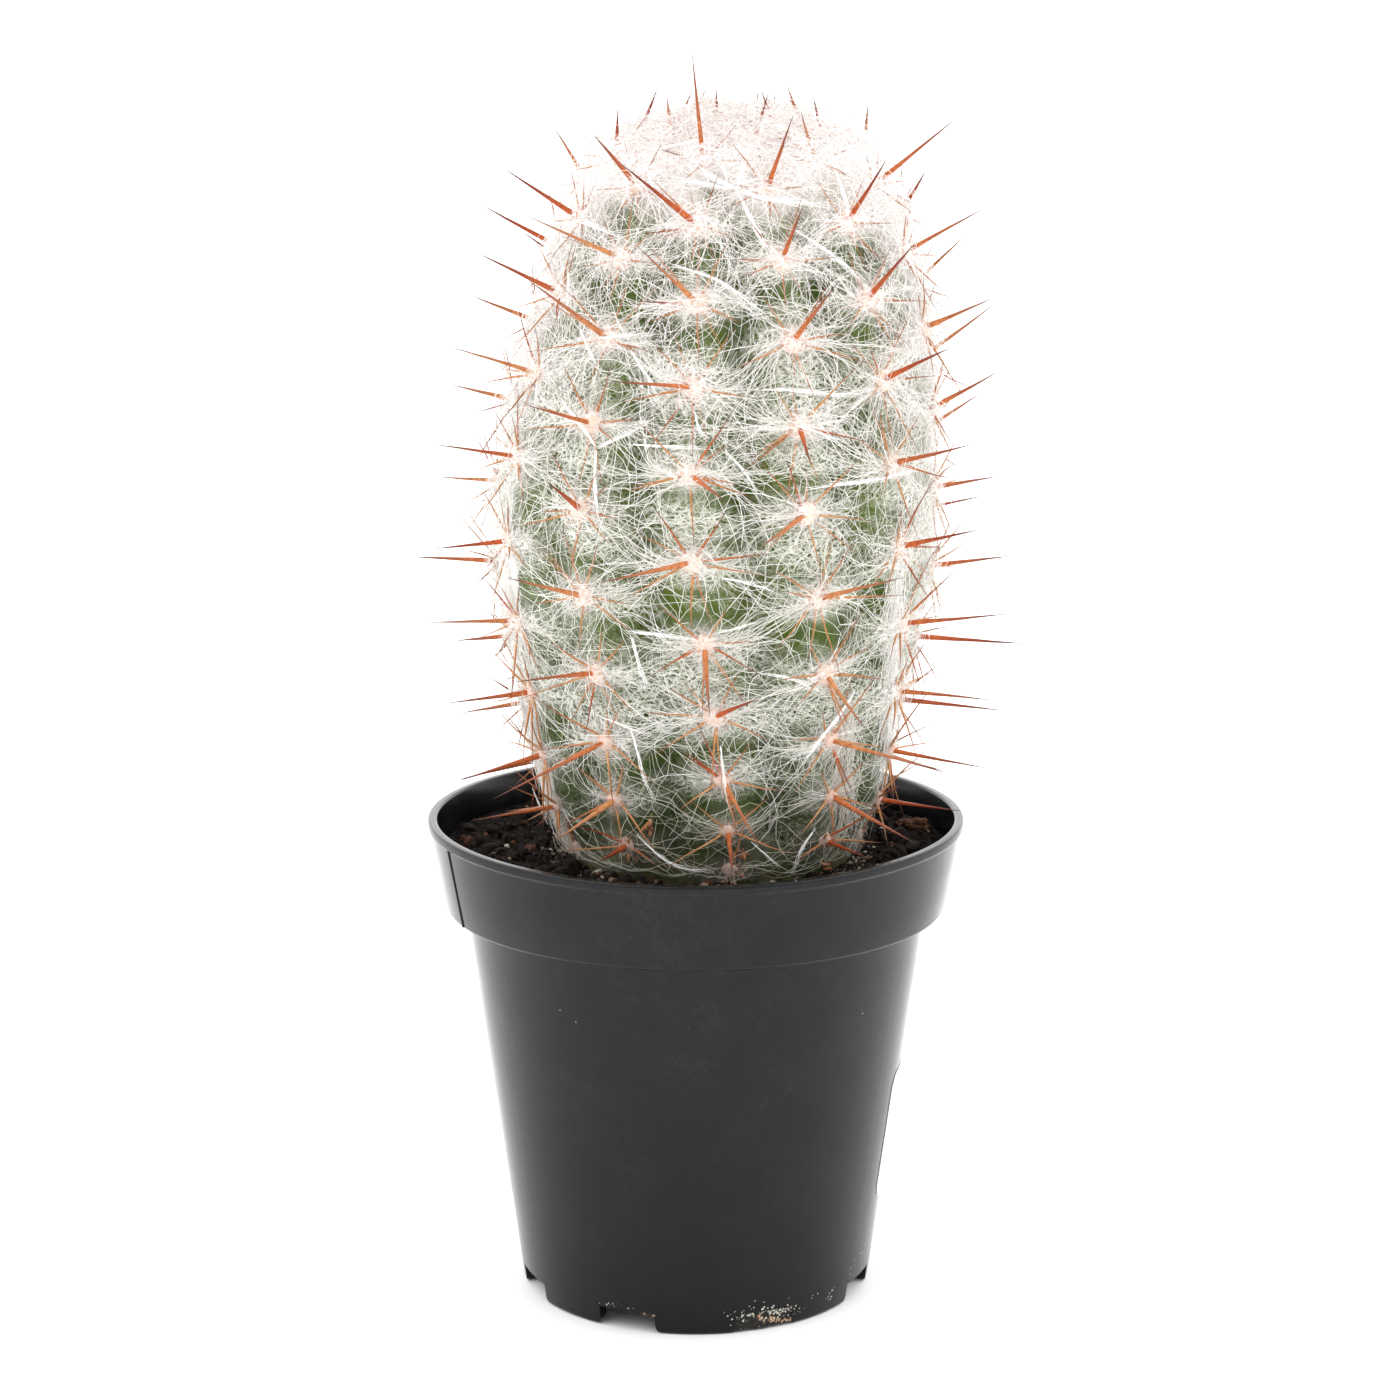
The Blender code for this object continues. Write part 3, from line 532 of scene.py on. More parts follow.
class Group(Net):
    """A node group with one output, and with named inputs that are listed by their kinds."""

    def __init__(self, name, tree_kind, output, **inputs):
        super().__init__(bpy.data.node_groups.new(name, tree_kind))
        sockets = [("INPUT", kind, label) for kind, labels in inputs.items() for label in labels.split(", ")]
        for way, kind, label in sockets + [("OUTPUT", *output)]:
            self.tree.interface.new_socket(label, in_out=way, socket_type="NodeSocket" + kind)
        self.given = self.tree.nodes.new("NodeGroupInput").outputs
        self.result = self.tree.nodes.new("NodeGroupOutput").inputs[0]

    def __getitem__(self, label):
        return Wire(self, self.given[label])

    def close(self, wire):
        self.feed(self.result, wire)
        return self.tree


class Growth(Group):
    """A geometry tree."""

    def __init__(self, name, **inputs):
        super().__init__(
            name, "GeometryNodeTree", ("Geometry", "Geometry"), Geometry="Geometry", Material="Material", **inputs
        )

    def attribute(self, name, kind="FLOAT"):
        return self.add("GeometryNodeInputNamedAttribute", {"Name": name}, data_type=kind)

    def store(self, geometry, name, value, domain="POINT"):
        inputs = {"Geometry": geometry, "Name": name, "Value": value}
        return self.add("GeometryNodeStoreNamedAttribute", inputs, domain=domain, data_type="FLOAT")

    def draw(self, step, low=0.0, high=1.0):
        """A random number or direction for each thing, by its own step from the tree's seed."""
        if isinstance(low, tuple):
            inputs = {0: low, 1: high, "Seed": self["Seed"] + step}
            return self.add("FunctionNodeRandomValue", inputs, data_type="FLOAT_VECTOR")
        return self.add("FunctionNodeRandomValue", {2: low, 3: high, "Seed": self["Seed"] + step}, 1)

    def lumps(self, points, rotation, scale):
        ball = self.add("GeometryNodeMeshIcoSphere", {"Radius": 1.0, "Subdivisions": self["Subdivisions"]})
        inputs = {"Points": points, "Instance": ball, "Rotation": rotation, "Scale": scale}
        return self.add("GeometryNodeInstanceOnPoints", inputs)

    def real(self, geometry):
        return self.add("GeometryNodeRealizeInstances", {"Geometry": geometry})

    def moved(self, geometry, offset):
        return self.add("GeometryNodeSetPosition", {"Geometry": geometry, "Offset": offset})

    def pushed(self, geometry, size, height, detail, own=None):
        """Pushes points about by noise of a size, as far as a height."""
        push = self.cloud(self.add("GeometryNodeInputPosition"), size, detail, "Color", own)
        push = self.vector("SUBTRACT", push, (0.5, 0.5, 0.5))
        return self.moved(geometry, self.vector("SCALE", push, height))

    def rough(self, geometry):
        return self.pushed(geometry, self["Rough size"], self["Rough height"] * 2.0, 2.0)

    def smooth(self, geometry):
        return self.add("GeometryNodeSetShadeSmooth", {"Geometry": geometry})

    def close(self, wire):
        """Every tree ends with real geometry in its material."""
        inputs = {"Geometry": self.real(wire), "Material": self["Material"]}
        return super().close(self.add("GeometryNodeSetMaterial", inputs))


def strand_tree():
    """Sweeps each polyline into a thin tapering tube with its own small waves."""
    net = Growth("strand_tubes", Int="Sides, Points", Float="Tip share, Taper power, Wave height, Wave size, Seed")
    curve = net.add("GeometryNodeMeshToCurve", {"Mesh": net["Geometry"]})
    curve = net.add("GeometryNodeCurveSplineType", {"Curve": curve}, spline_type="CATMULL_ROM")
    curve = net.add("GeometryNodeResampleCurve", {"Curve": curve, "Count": net["Points"]})
    along = net.add("GeometryNodeSplineParameter", output="Factor")
    curve = net.store(curve, "along", along)
    own = net.math("MULTIPLY_ADD", net.attribute("strand"), 3.7, net["Seed"])
    rooted = net.math("MINIMUM", along * 3.0, 2.0)
    curve = net.pushed(curve, net["Wave size"], net["Wave height"] * rooted, 1.0, own)
    worn = net.attribute("along") ** net["Taper power"]
    radius = net.attribute("thickness") * (1.0 - worn * (1.0 - net["Tip share"]))
    circle = net.add("GeometryNodeCurvePrimitiveCircle", {"Resolution": net["Sides"], "Radius": 0.5})
    inputs = {"Curve": curve, "Profile Curve": circle, "Scale": radius, "Fill Caps": True}
    return net.close(net.smooth(net.add("GeometryNodeCurveToMesh", inputs)))


def rib_tree():
    """Presses the valleys into a round stem and raises a chin under each areole."""
    net = Growth("stem_ribs", Float="Rib depth, Roundness, Chin height")
    wave = net.math("MAXIMUM", net.math("COSINE", net.attribute("across") * math.pi), 0.0)
    valley = (1.0 - wave ** net["Roundness"]) * (net.attribute("room") * net["Rib depth"])
    chin = net.attribute("chin") * (wave * wave) * net["Chin height"]
    offset = net.vector("SCALE", net.attribute("outward", "FLOAT_VECTOR"), chin - valley)
    return net.close(net.smooth(net.moved(net["Geometry"], offset)))


def cushion_tree():
    """Sets a low rough lump on each point, turned to face outwards."""
    net = Growth("felt_cushions", Float="Height share, Rough height, Rough size", Int="Subdivisions")
    points = net.add("GeometryNodeMeshToPoints", {"Mesh": net["Geometry"]})
    outwards = {"Vector": net.attribute("out", "FLOAT_VECTOR")}
    facing = net.add("FunctionNodeAlignRotationToVector", outwards, axis="Z")
    size = net.attribute("size")
    scale = net.add("ShaderNodeCombineXYZ", {0: size, 1: size, 2: size * net["Height share"]})
    return net.close(net.smooth(net.rough(net.real(net.lumps(points, facing, scale)))))


def crumb_tree():
    """Scatters irregular crumbs over a surface, each with its own size, turn and tone."""
    net = Growth("crumbs", Float="Density, Smallest, Largest, Flatness, Rough height, Rough size",
                 Int="Subdivisions, Seed")
    inputs = {"Mesh": net["Geometry"], "Density": net["Density"], "Seed": net["Seed"]}
    points = net.add("GeometryNodeDistributePointsOnFaces", inputs, "Points")
    turn = net.draw(0, (0.0, 0.0, 0.0), (math.tau, math.tau, math.tau))
    size = net.math("MULTIPLY_ADD", net.draw(1) ** 2.2, net["Largest"] - net["Smallest"], net["Smallest"])
    flat = net.add("ShaderNodeCombineXYZ", {0: 1.0, 1: 1.0, 2: net["Flatness"]})
    shape = net.vector("MULTIPLY", net.draw(2, (0.6, 0.6, 0.6), (1.2, 1.2, 1.2)), flat)
    crumbs = net.lumps(points, turn, net.vector("SCALE", shape, size))
    return net.close(net.rough(net.real(net.store(crumbs, "tone", net.draw(3), "INSTANCE"))))


def mottle_group():
    """Soft uneven patches: a value from Low to High by cloudy noise."""
    net = Group("mottle", "ShaderNodeTree", ("Float", "Value"), Vector="Vector", Float="Size, Low, High, Detail")
    cloud = net.cloud(net["Vector"], net["Size"], net["Detail"], Roughness=0.6)
    return net.close(net.between(cloud, 0.3, 0.7, net["Low"], net["High"]))


def speckle_group():
    """Sparse small specks: a mask that is 1 on a chosen share of cells."""
    net = Group("speckle", "ShaderNodeTree", ("Float", "Mask"), Vector="Vector", Float="Spacing, Radius, Share")
    far = net.add("ShaderNodeTexVoronoi", {"Vector": net["Vector"], "Scale": 1.0 / net["Spacing"]}, "Distance")
    cell = Wire(net, far.socket.node.outputs["Color"])
    chosen = net.math("LESS_THAN", net.add("ShaderNodeSeparateColor", {"Color": cell}), net["Share"])
    return net.close(net.between(far, net["Radius"], net["Radius"] * 0.5) * chosen)


def fibre_group():
    """Fine curving fibres: a mask of thin lines along the contours of soft noises. They lie mostly
    across the object's height, and Flow draws them out that way."""
    net = Group("fibres", "ShaderNodeTree", ("Float", "Mask"), Vector="Vector",
                Float="Size, Flow, Lines, Width, Seed")
    flow = net.add("ShaderNodeCombineXYZ", {0: 1.0, 1: 1.0, 2: net["Flow"]})
    drawn = net.vector("MULTIPLY", net["Vector"], flow)
    mask = None
    for layer, vector in enumerate((drawn, net["Vector"], drawn)):
        cloud = net.cloud(vector, net["Size"], 0.0, own=net["Seed"] + 3.1 * layer)
        off = net.math("ABSOLUTE", net.math("FRACT", cloud * net["Lines"]) - 0.5)
        line = net.between(off, net["Width"], 0.0)
        mask = net.math("MAXIMUM", mask, line) if mask else line
    return net.close(mask)


TREES = {"strands": strand_tree(), "ribs": rib_tree(), "cushions": cushion_tree(), "crumbs": crumb_tree()}
GROUPS = {"mottle": mottle_group(), "speckle": speckle_group(), "fibres": fibre_group()}


# Materials

# A colour is plain, or a list: the ground, then masks with the colours that lie over it there. A mask
# is a shader group with its sizes, or the height or a number stored on the mesh, between two limits. A
# tuple of masks is their product. Sizes and heights are in metres. A bump has the size and detail of its
# patches, and its depth. Other values are set on the shader's own sockets.
# Whites of hair and down by height: faintly pink from the middle up, then darker over the top of the crown, a
# painted shade against the strong light from above
HAIR_WHITES_AND_CROWN_SHADE = [
    (0.90, 0.885, 0.86),
    (("height", 0.165, 0.215), (0.89, 0.855, 0.84)),
    (("height", 0.210, 0.224), (0.85, 0.80, 0.785)),
    (("height", 0.222, 0.234), (0.70, 0.64, 0.615)),
]
DIRTY_HAIR = (0.42, 0.35, 0.26)
FINISHES = {
    # Black polypropylene: satin, slightly uneven, with a trace of dust
    "pot_plastic": {
        "IOR": 1.325,
        "colour": [
            (0.0002, 0.0002, 0.0002),
            # Darker towards the foot, with its patches fading there: painted shade of the floor's contact shadow
            # in the plastic
            (("height", 0.0, 0.08), (0.0022, 0.0024, 0.0034)),
            (
                (("mottle", 0.014), ("mottle", 0.0015, 0.0, 1.0, 5.0), ("height", -0.03, 0.06)),
                (0.0115, 0.0120, 0.0135),
            ),
            ((("speckle", 0.0045, 0.045, 0.10), 0.7), (0.45, 0.42, 0.38)),
        ],
        "roughness": ("mottle", 0.012, 0.14, 0.21, 4.0),
        "bump": (0.004, 2.0, 0.000012),
    },
    # Dull waxy skin, olive green, darker and browner low down, with a bloom that shows at its edges
    "cactus_skin": {
        "Roughness": 0.5, "Specular IOR Level": 0.18, "Sheen Weight": 0.3, "Sheen Roughness": 0.2,
        "colour": [
            [(0.017, 0.033, 0.004), (("mottle", 0.008), (0.034, 0.052, 0.007))],
            (("height", 0.092, 0.145), [(0.050, 0.092, 0.007), (("mottle", 0.010), (0.092, 0.140, 0.011))]),
            (("speckle", 0.0016, 0.30, 0.4), (0.12, 0.17, 0.026)),
            ((("height", 0.100, 0.088), ("mottle", 0.004, 0.0, 0.9)), (0.10, 0.085, 0.045)),
        ],
        "bump": (0.0012, 4.0, 0.00015),
    },
    # Fine silky hair: grey-green where it lies low on the skin, a painted shade, white further out, faintly pink
    # over the crown and darker over its top, a painted shade, whitest where it is glued together, and dirty near
    # the soil.
    # All of it has a painted glow, strongest on the glued strands.
    "hair_white": {
        "Roughness": 0.5, "Emission Strength": 1.0, "Specular IOR Level": 0.3,
        "colour": [
            # Grey-green on hair that lies low on the skin, a painted shade, and white where it lies higher
            (0.72, 0.74, 0.55), (("lit_share",), HAIR_WHITES_AND_CROWN_SHADE), (("tone", 0.0, 1.0), DIRTY_HAIR),
            (("tone", 0.0, -1.0), (0.95, 0.945, 0.94)),
        ],
        # Painted glow: the hair gives off light of its own, most where it lies high over the middle stem and on
        # the glued strands
        "glow": [
            (0.010, 0.012, 0.008), ((("lit_share",), ("height", 0.085, 0.150)), (0.125, 0.113, 0.108)),
            (("tone", 0.0, -1.0), (0.25, 0.25, 0.25)),
        ],
    },
    # The finest down, too thin to model hair by hair: soft fibres on clear layers, denser round the
    # areoles, and a faintly pink mist over the crown. It is grey-green on the inner layers, a painted shade,
    # and has a painted glow, weaker over the top of the crown.
    "down_white": {
        "Roughness": 0.7, "Emission Strength": 1.0, "Specular IOR Level": 0.1, "Sheen Weight": 0.3,
        "Sheen Roughness": 0.4,
        # Grey-green on the inner layers, a painted shade, and white further out
        "colour": [(0.66, 0.70, 0.48), (("lit_share",), HAIR_WHITES_AND_CROWN_SHADE), (("tone",), DIRTY_HAIR)],
        # Painted glow: the down gives off light of its own over the middle and upper stem, and less over the top
        # of the crown
        "glow": [
            (0.02, 0.02, 0.015), (("height", 0.130, 0.215), (0.13, 0.115, 0.11)),
            (("height", 0.222, 0.233), (0.03, 0.03, 0.03)),
        ],
        "alpha": (
            (("fibres", 0.0040, 1.9, 7.0, 0.14, "layer"), ("cover",)),
            (("mist",), ("mottle", 0.004, 0.8, 1.1)),
        ),
    },
    # Short felt of the areoles: cream when young, and pinkish when old
    "wool_cream": {
        "Roughness": 0.85, "Specular IOR Level": 0.2,
        "colour": [
            [(0.72, 0.50, 0.38), (("mottle", 0.0016), (0.84, 0.70, 0.60))],
            (("tone",), [(0.56, 0.34, 0.26), (("mottle", 0.0012), (0.78, 0.62, 0.54))]),
        ],
    },
    # Hard spines: straw or deep red-orange by spine, then browner and darker towards the tip
    "spine_horn": {
        "Roughness": 0.42, "Specular IOR Level": 0.2,
        "colour": [
            (0.68, 0.38, 0.16),
            (("tone",), (0.52, 0.080, 0.016)),
            (("mottle", 0.0012, 0.0, 0.35), (0.72, 0.27, 0.07)),
            (("mottle", 0.0007, -0.2, 0.65), (0.22, 0.040, 0.014)),
            (("along", 0.20, 0.75), [(0.42, 0.18, 0.085), (("tone",), (0.17, 0.026, 0.014))]),
            (("along", 0.75, 1.0), (0.060, 0.030, 0.028)),
        ],
        "bump": (0.0006, 3.0, 0.00012),
    },
    # Moist peat: almost black, with a few pale grains
    "soil_dark": {
        "Roughness": 0.9, "Specular IOR Level": 0.12,
        "colour": [
            (0.003, 0.0022, 0.0016), (("mottle", 0.003, 0.0, 1.0, 5.0), (0.013, 0.009, 0.006)),
            (("speckle", 0.0030, 0.16, 0.06), (0.22, 0.19, 0.15)),
        ],
        "bump": (0.0008, 4.0, 0.0005),
    },
    # Crumbs of peat and bark: mostly black-brown, a few reddish or tan
    "crumb_bark": {
        "Roughness": 0.85, "Specular IOR Level": 0.2,
        "colour": [
            (0.003, 0.0022, 0.0016), (("mottle", 0.002), (0.018, 0.011, 0.007)),
            (("tone", 0.86, 0.90), (0.085, 0.036, 0.017)), (("tone", 0.975, 0.985), (0.34, 0.24, 0.16)),
        ],
        "bump": (0.0007, 4.0, 0.0003),
    },
    # A weathered flake of reddish bark with paler ridges
    "bark_chip": {
        "Roughness": 0.8, "Specular IOR Level": 0.2,
        "colour": [
            (0.026, 0.010, 0.006), (("mottle", 0.0016, 0.0, 1.0, 5.0), (0.17, 0.068, 0.036)),
            (("speckle", 0.0011, 0.35, 0.2), (0.34, 0.20, 0.12)),
        ],
        "bump": (0.0009, 4.0, 0.0008),
    },
    # Bits of old hair, husk and bark caught at the foot of the stem: tan, grey and brown
    "litter_tan": {
        "Roughness": 0.9,
        "colour": [
            (0.030, 0.018, 0.011), (("tone", 0.25, 0.6), (0.24, 0.17, 0.115)),
            (("tone", 0.8, 0.9), (0.60, 0.55, 0.48)), (("mottle", 0.0008, 0.0, 0.6), (0.08, 0.055, 0.04)),
        ],
    },
    "perlite_white": {
        "Roughness": 0.9,
        "colour": [(0.80, 0.77, 0.70), (("mottle", 0.0012), (0.45, 0.38, 0.30))],
        "bump": (0.0004, 4.0, 0.0002),
    },
    # Dry lime and root crust at the drain notches: grey-white, cream or tan by its grain
    "lime_crust": {
        "Roughness": 0.85, "Specular IOR Level": 0.2,
        "colour": [
            (0.30, 0.29, 0.25), (("mottle", 0.0012), (0.74, 0.72, 0.60)), (("tone", 0.5, 0.8), (0.50, 0.32, 0.20)),
        ],
    },
    # Peat that has dried in a drain notch: grey-black and dull
    "dried_peat": {
        "Roughness": 0.7, "Specular IOR Level": 0.35,
        "colour": [
            (0.004, 0.004, 0.004), (("mottle", 0.002, 0.0, 1.0, 5.0), (0.022, 0.019, 0.016)),
            (("speckle", 0.0006, 0.40, 0.15), (0.16, 0.15, 0.13)),
        ],
        "bump": (0.0008, 4.0, 0.0004),
    },
    "label_paper": {
        "Roughness": 0.6,
        "colour": [(0.80, 0.82, 0.79), (("mottle", 0.004), (0.86, 0.87, 0.85))],
        "bump": (0.0008, 3.0, 0.00003),
    },
    "studio_floor": {
        "Roughness": 0.7,
        "colour": [(0.94, 0.94, 0.94), (("mottle", 0.3), (0.955, 0.955, 0.955))],
    },
}
MOTTLE_VALUES = (0.0, 1.0, 3.0)


class Paint(Net):
    """The nodes of a material, on the object's coordinates."""

    def __init__(self, tree):
        super().__init__(tree)
        self.place = self.add("ShaderNodeTexCoord", output="Object")

    def attribute(self, name):
        return self.add("ShaderNodeAttribute", output="Fac", attribute_name=name)

    def mask(self, mask):
        if isinstance(mask, float):
            return mask
        kind, *values = mask
        if not isinstance(kind, str):
            product = self.mask(kind)
            for other in values:
                product *= self.mask(other)
            return product
        if kind in GROUPS:
            if kind == "mottle":
                values += MOTTLE_VALUES[len(values) - 1:]
            values = [self.attribute(value) if isinstance(value, str) else value for value in values]
            return self.add("ShaderNodeGroup", dict(enumerate([self.place, *values])), node_tree=GROUPS[kind])
        if kind == "height":
            value = self.add("ShaderNodeSeparateXYZ", {0: self.place}, "Z")
        else:
            value = self.attribute(kind)
        return self.between(value, *values) if values else value

    def colour(self, colour):
        if isinstance(colour, tuple):
            return (*colour, 1.0)
        ground, *layers = colour
        ground = self.colour(ground)
        for mask, over in layers:
            inputs = {"Factor": self.mask(mask), 6: ground, 7: self.colour(over)}
            ground = self.add("ShaderNodeMix", inputs, 2, data_type="RGBA")
        return ground


@functools.cache
def finish(name):
    """The material of a finish, built when it is first asked for."""
    material = bpy.data.materials.new(name)
    material.use_nodes = True
    net = Paint(material.node_tree)
    values = dict(FINISHES[name])
    values["Base Color"] = net.colour(values.pop("colour"))
    # A painted glow is set as emission
    if "glow" in values:
        values["Emission Color"] = net.colour(values.pop("glow"))
    if "roughness" in values:
        values["Roughness"] = net.mask(values.pop("roughness"))
    if "alpha" in values:
        fibres, mist = values.pop("alpha")
        values["Alpha"] = net.math("MINIMUM", net.mask(fibres) + net.mask(mist), 1.0)
    if "bump" in values:
        size, detail, depth = values.pop("bump")
        inputs = {"Height": net.mask(("mottle", size, 0.0, 1.0, detail)), "Distance": depth, "Strength": 1.0}
        values["Normal"] = net.add("ShaderNodeBump", inputs)
    for label, value in values.items():
        net.feed(net.tree.nodes["Principled BSDF"].inputs[label], value)
    return material


# The rule of the stem, as in its solid


def crest_curve():
    """The crest's outline as a smooth curve: lengths along it, radii and heights."""
    points = [Vector((radius, z)) * MM for radius, z in CREST_OUTLINE]
    curve = []
    for i in range(len(points) - 1):
        before = points[max(i - 1, 0)]
        after = points[min(i + 2, len(points) - 1)]
        for step in range(CREST_STEPS):
            curve.append(catmull_rom(before, points[i], points[i + 1], after, step / CREST_STEPS))
    curve.append(points[-1])
    lengths = [0.0]
    for one, other in zip(curve, curve[1:]):
        lengths.append(lengths[-1] + (other - one).length)
    return np.array(lengths), np.array([max(p.x, 0.0) for p in curve]), np.array([p.y for p in curve])


def catmull_rom(a, b, c, d, t):
    return 0.5 * (
        2 * b + (c - a) * t + (2 * a - 5 * b + 4 * c - d) * t**2 + (3 * b - a - 3 * c + d) * t**3
    )


CREST_LENGTHS, CREST_RADII, CREST_HEIGHTS = crest_curve()
CREST_LENGTH = float(CREST_LENGTHS[-1])


def crest_at(length):
    """Radius and height of the crest at a length along it."""
    radius = float(np.interp(length, CREST_LENGTHS, CREST_RADII))
    return radius, float(np.interp(length, CREST_LENGTHS, CREST_HEIGHTS))


def length_at_height(height):
    return float(np.interp(height, CREST_HEIGHTS, CREST_LENGTHS))


def stem_x(z):
    return lerp(STEM_X_LOW, STEM_X_HIGH, ramp(z, *STEM_BEND))


def twist_at(z):
    """How far the ribs turn at a height, and how far they crowd towards the front or the back."""
    share = np.clip((TWIST_MIDDLE - z) / TWIST_REACH, *TWIST_LIMITS)
    return [share * np.where(share > 0, low, high) for low, high in zip(TWIST_LOW, TWIST_HIGH)]


def twisted(phi, z):
    turn, spread = twist_at(z)
    return float(phi + turn + spread * np.sin(phi))


def spacing_at(z):
    """Distance between neighbouring areoles of a rib, shorter towards the soil and the tip."""
    if z < TWIST_MIDDLE:
        return AREOLE_SPACING - SPACING_LOSS_LOW * ((TWIST_MIDDLE - z) / SPACING_REACH_LOW) ** 2
    return AREOLE_SPACING - SPACING_LOSS_HIGH * ((z - TWIST_MIDDLE) / SPACING_REACH_HIGH) ** 2


def areole_lengths(rib):
    length = length_at_height(FIRST_AREOLE)
    if rib % 2:
        length += spacing_at(FIRST_AREOLE) / 2
    found = []
    while length < CREST_LENGTH:
        found.append(length)
        length += spacing_at(crest_at(length)[1])
    return found


AREOLES = [areole_lengths(rib) for rib in range(RIBS)]


def crown_share(z):
    """0 on the round root crown below the soil and 1 where the ribs are full."""
    return ramp(z, ROOT_CROWN_TOP, RIBS_FULL_Z)


def chin_share(rib, length, radius):
    nearest = min(abs(length - place) for place in AREOLES[rib % RIBS])
    return math.exp(-((nearest / BUMP_LENGTH) ** 2)) * min(1.0, radius / INNERMOST_PAD)


def crest_point(rib, length):
    """A point on the crest of a rib, on its chins."""
    radius, z = crest_at(length)
    radius += float(crown_share(z)) * BUMP_HEIGHT * chin_share(rib, length, radius)
    return about_axis(radius, twisted(FIRST_RIB + RIB_ANGLE * rib, z), z, float(stem_x(z)))


def envelope_at(points):
    """Height over the round surface that the crests lie on, the way out of it, and its radius there."""
    x = points[:, 0] - stem_x(points[:, 2])
    radius = np.maximum(np.hypot(x, points[:, 1]), 1e-6)
    off_r = radius[:, None] - CREST_RADII[None, :]
    off_z = points[:, 2][:, None] - CREST_HEIGHTS[None, :]
    near = np.argmin(off_r**2 + off_z**2, axis=1)
    rise_r, rise_z = np.gradient(CREST_RADII), np.gradient(CREST_HEIGHTS)
    size = np.maximum(np.hypot(rise_r, rise_z), 1e-9)
    out_r, out_z = (rise_z / size)[near], (-rise_r / size)[near]
    rows = np.arange(len(points))
    height = off_r[rows, near] * out_r + off_z[rows, near] * out_z
    out = np.stack([out_r * x / radius, out_r * points[:, 1] / radius, out_z], axis=1)
    return height[:, None], out, CREST_RADII[near]


def valley_depth(points, crest_radius):
    """How deep the skin lies under the crests' surface at a point."""
    z = points[:, 2]
    angle = np.arctan2(points[:, 0] - stem_x(z), -points[:, 1])
    turn, spread = twist_at(z)
    phi = angle - turn
    for _ in range(4):
        phi = angle - turn - spread * np.sin(phi)
    rib = (phi - FIRST_RIB) / RIB_ANGLE
    wave = np.cos(np.pi * (rib - np.round(rib)))
    return (crown_share(z) * RIB_DEPTH * crest_radius * (1 - wave**RIB_ROUNDNESS))[:, None]


def camera_rays(pixels):
    """Directions from the camera through pixels of the photograph, one unit deep."""
    across, down = ((np.asarray(pixels, float) - PHOTO_SIDE / 2) / PHOTO_FOCAL).T
    level, tilt = math.cos(CAMERA_TILT), math.sin(CAMERA_TILT)
    return np.stack([across, level - down * tilt, -tilt - down * level], axis=1)


def first_hits(pixels, height_over):
    """Where the camera's rays first come under a surface, or pass it closest."""
    rays = camera_rays(pixels)
    points = np.array(CAMERA_PLACE) + rays[:, None, :] * RAY_DEPTHS[None, :, None]
    heights = height_over(points.reshape(-1, 3)).reshape(len(rays), -1)
    under = heights < 0
    first = np.where(under.any(axis=1), under.argmax(axis=1), heights.argmin(axis=1))
    return points[np.arange(len(rays)), first]


def lifted(points, lift):
    """The points moved to a height over the stem's crests."""
    height, out, _ = envelope_at(points)
    return points + out * (lift - height)


def seen_on_stem(pixels, lift):
    """Points over the stem's crests, by where the camera sees them."""
    return lifted(first_hits(pixels, lambda place: envelope_at(place)[0][:, 0] - lift), lift)


# Areoles and their spines, by the same draws as in the solid


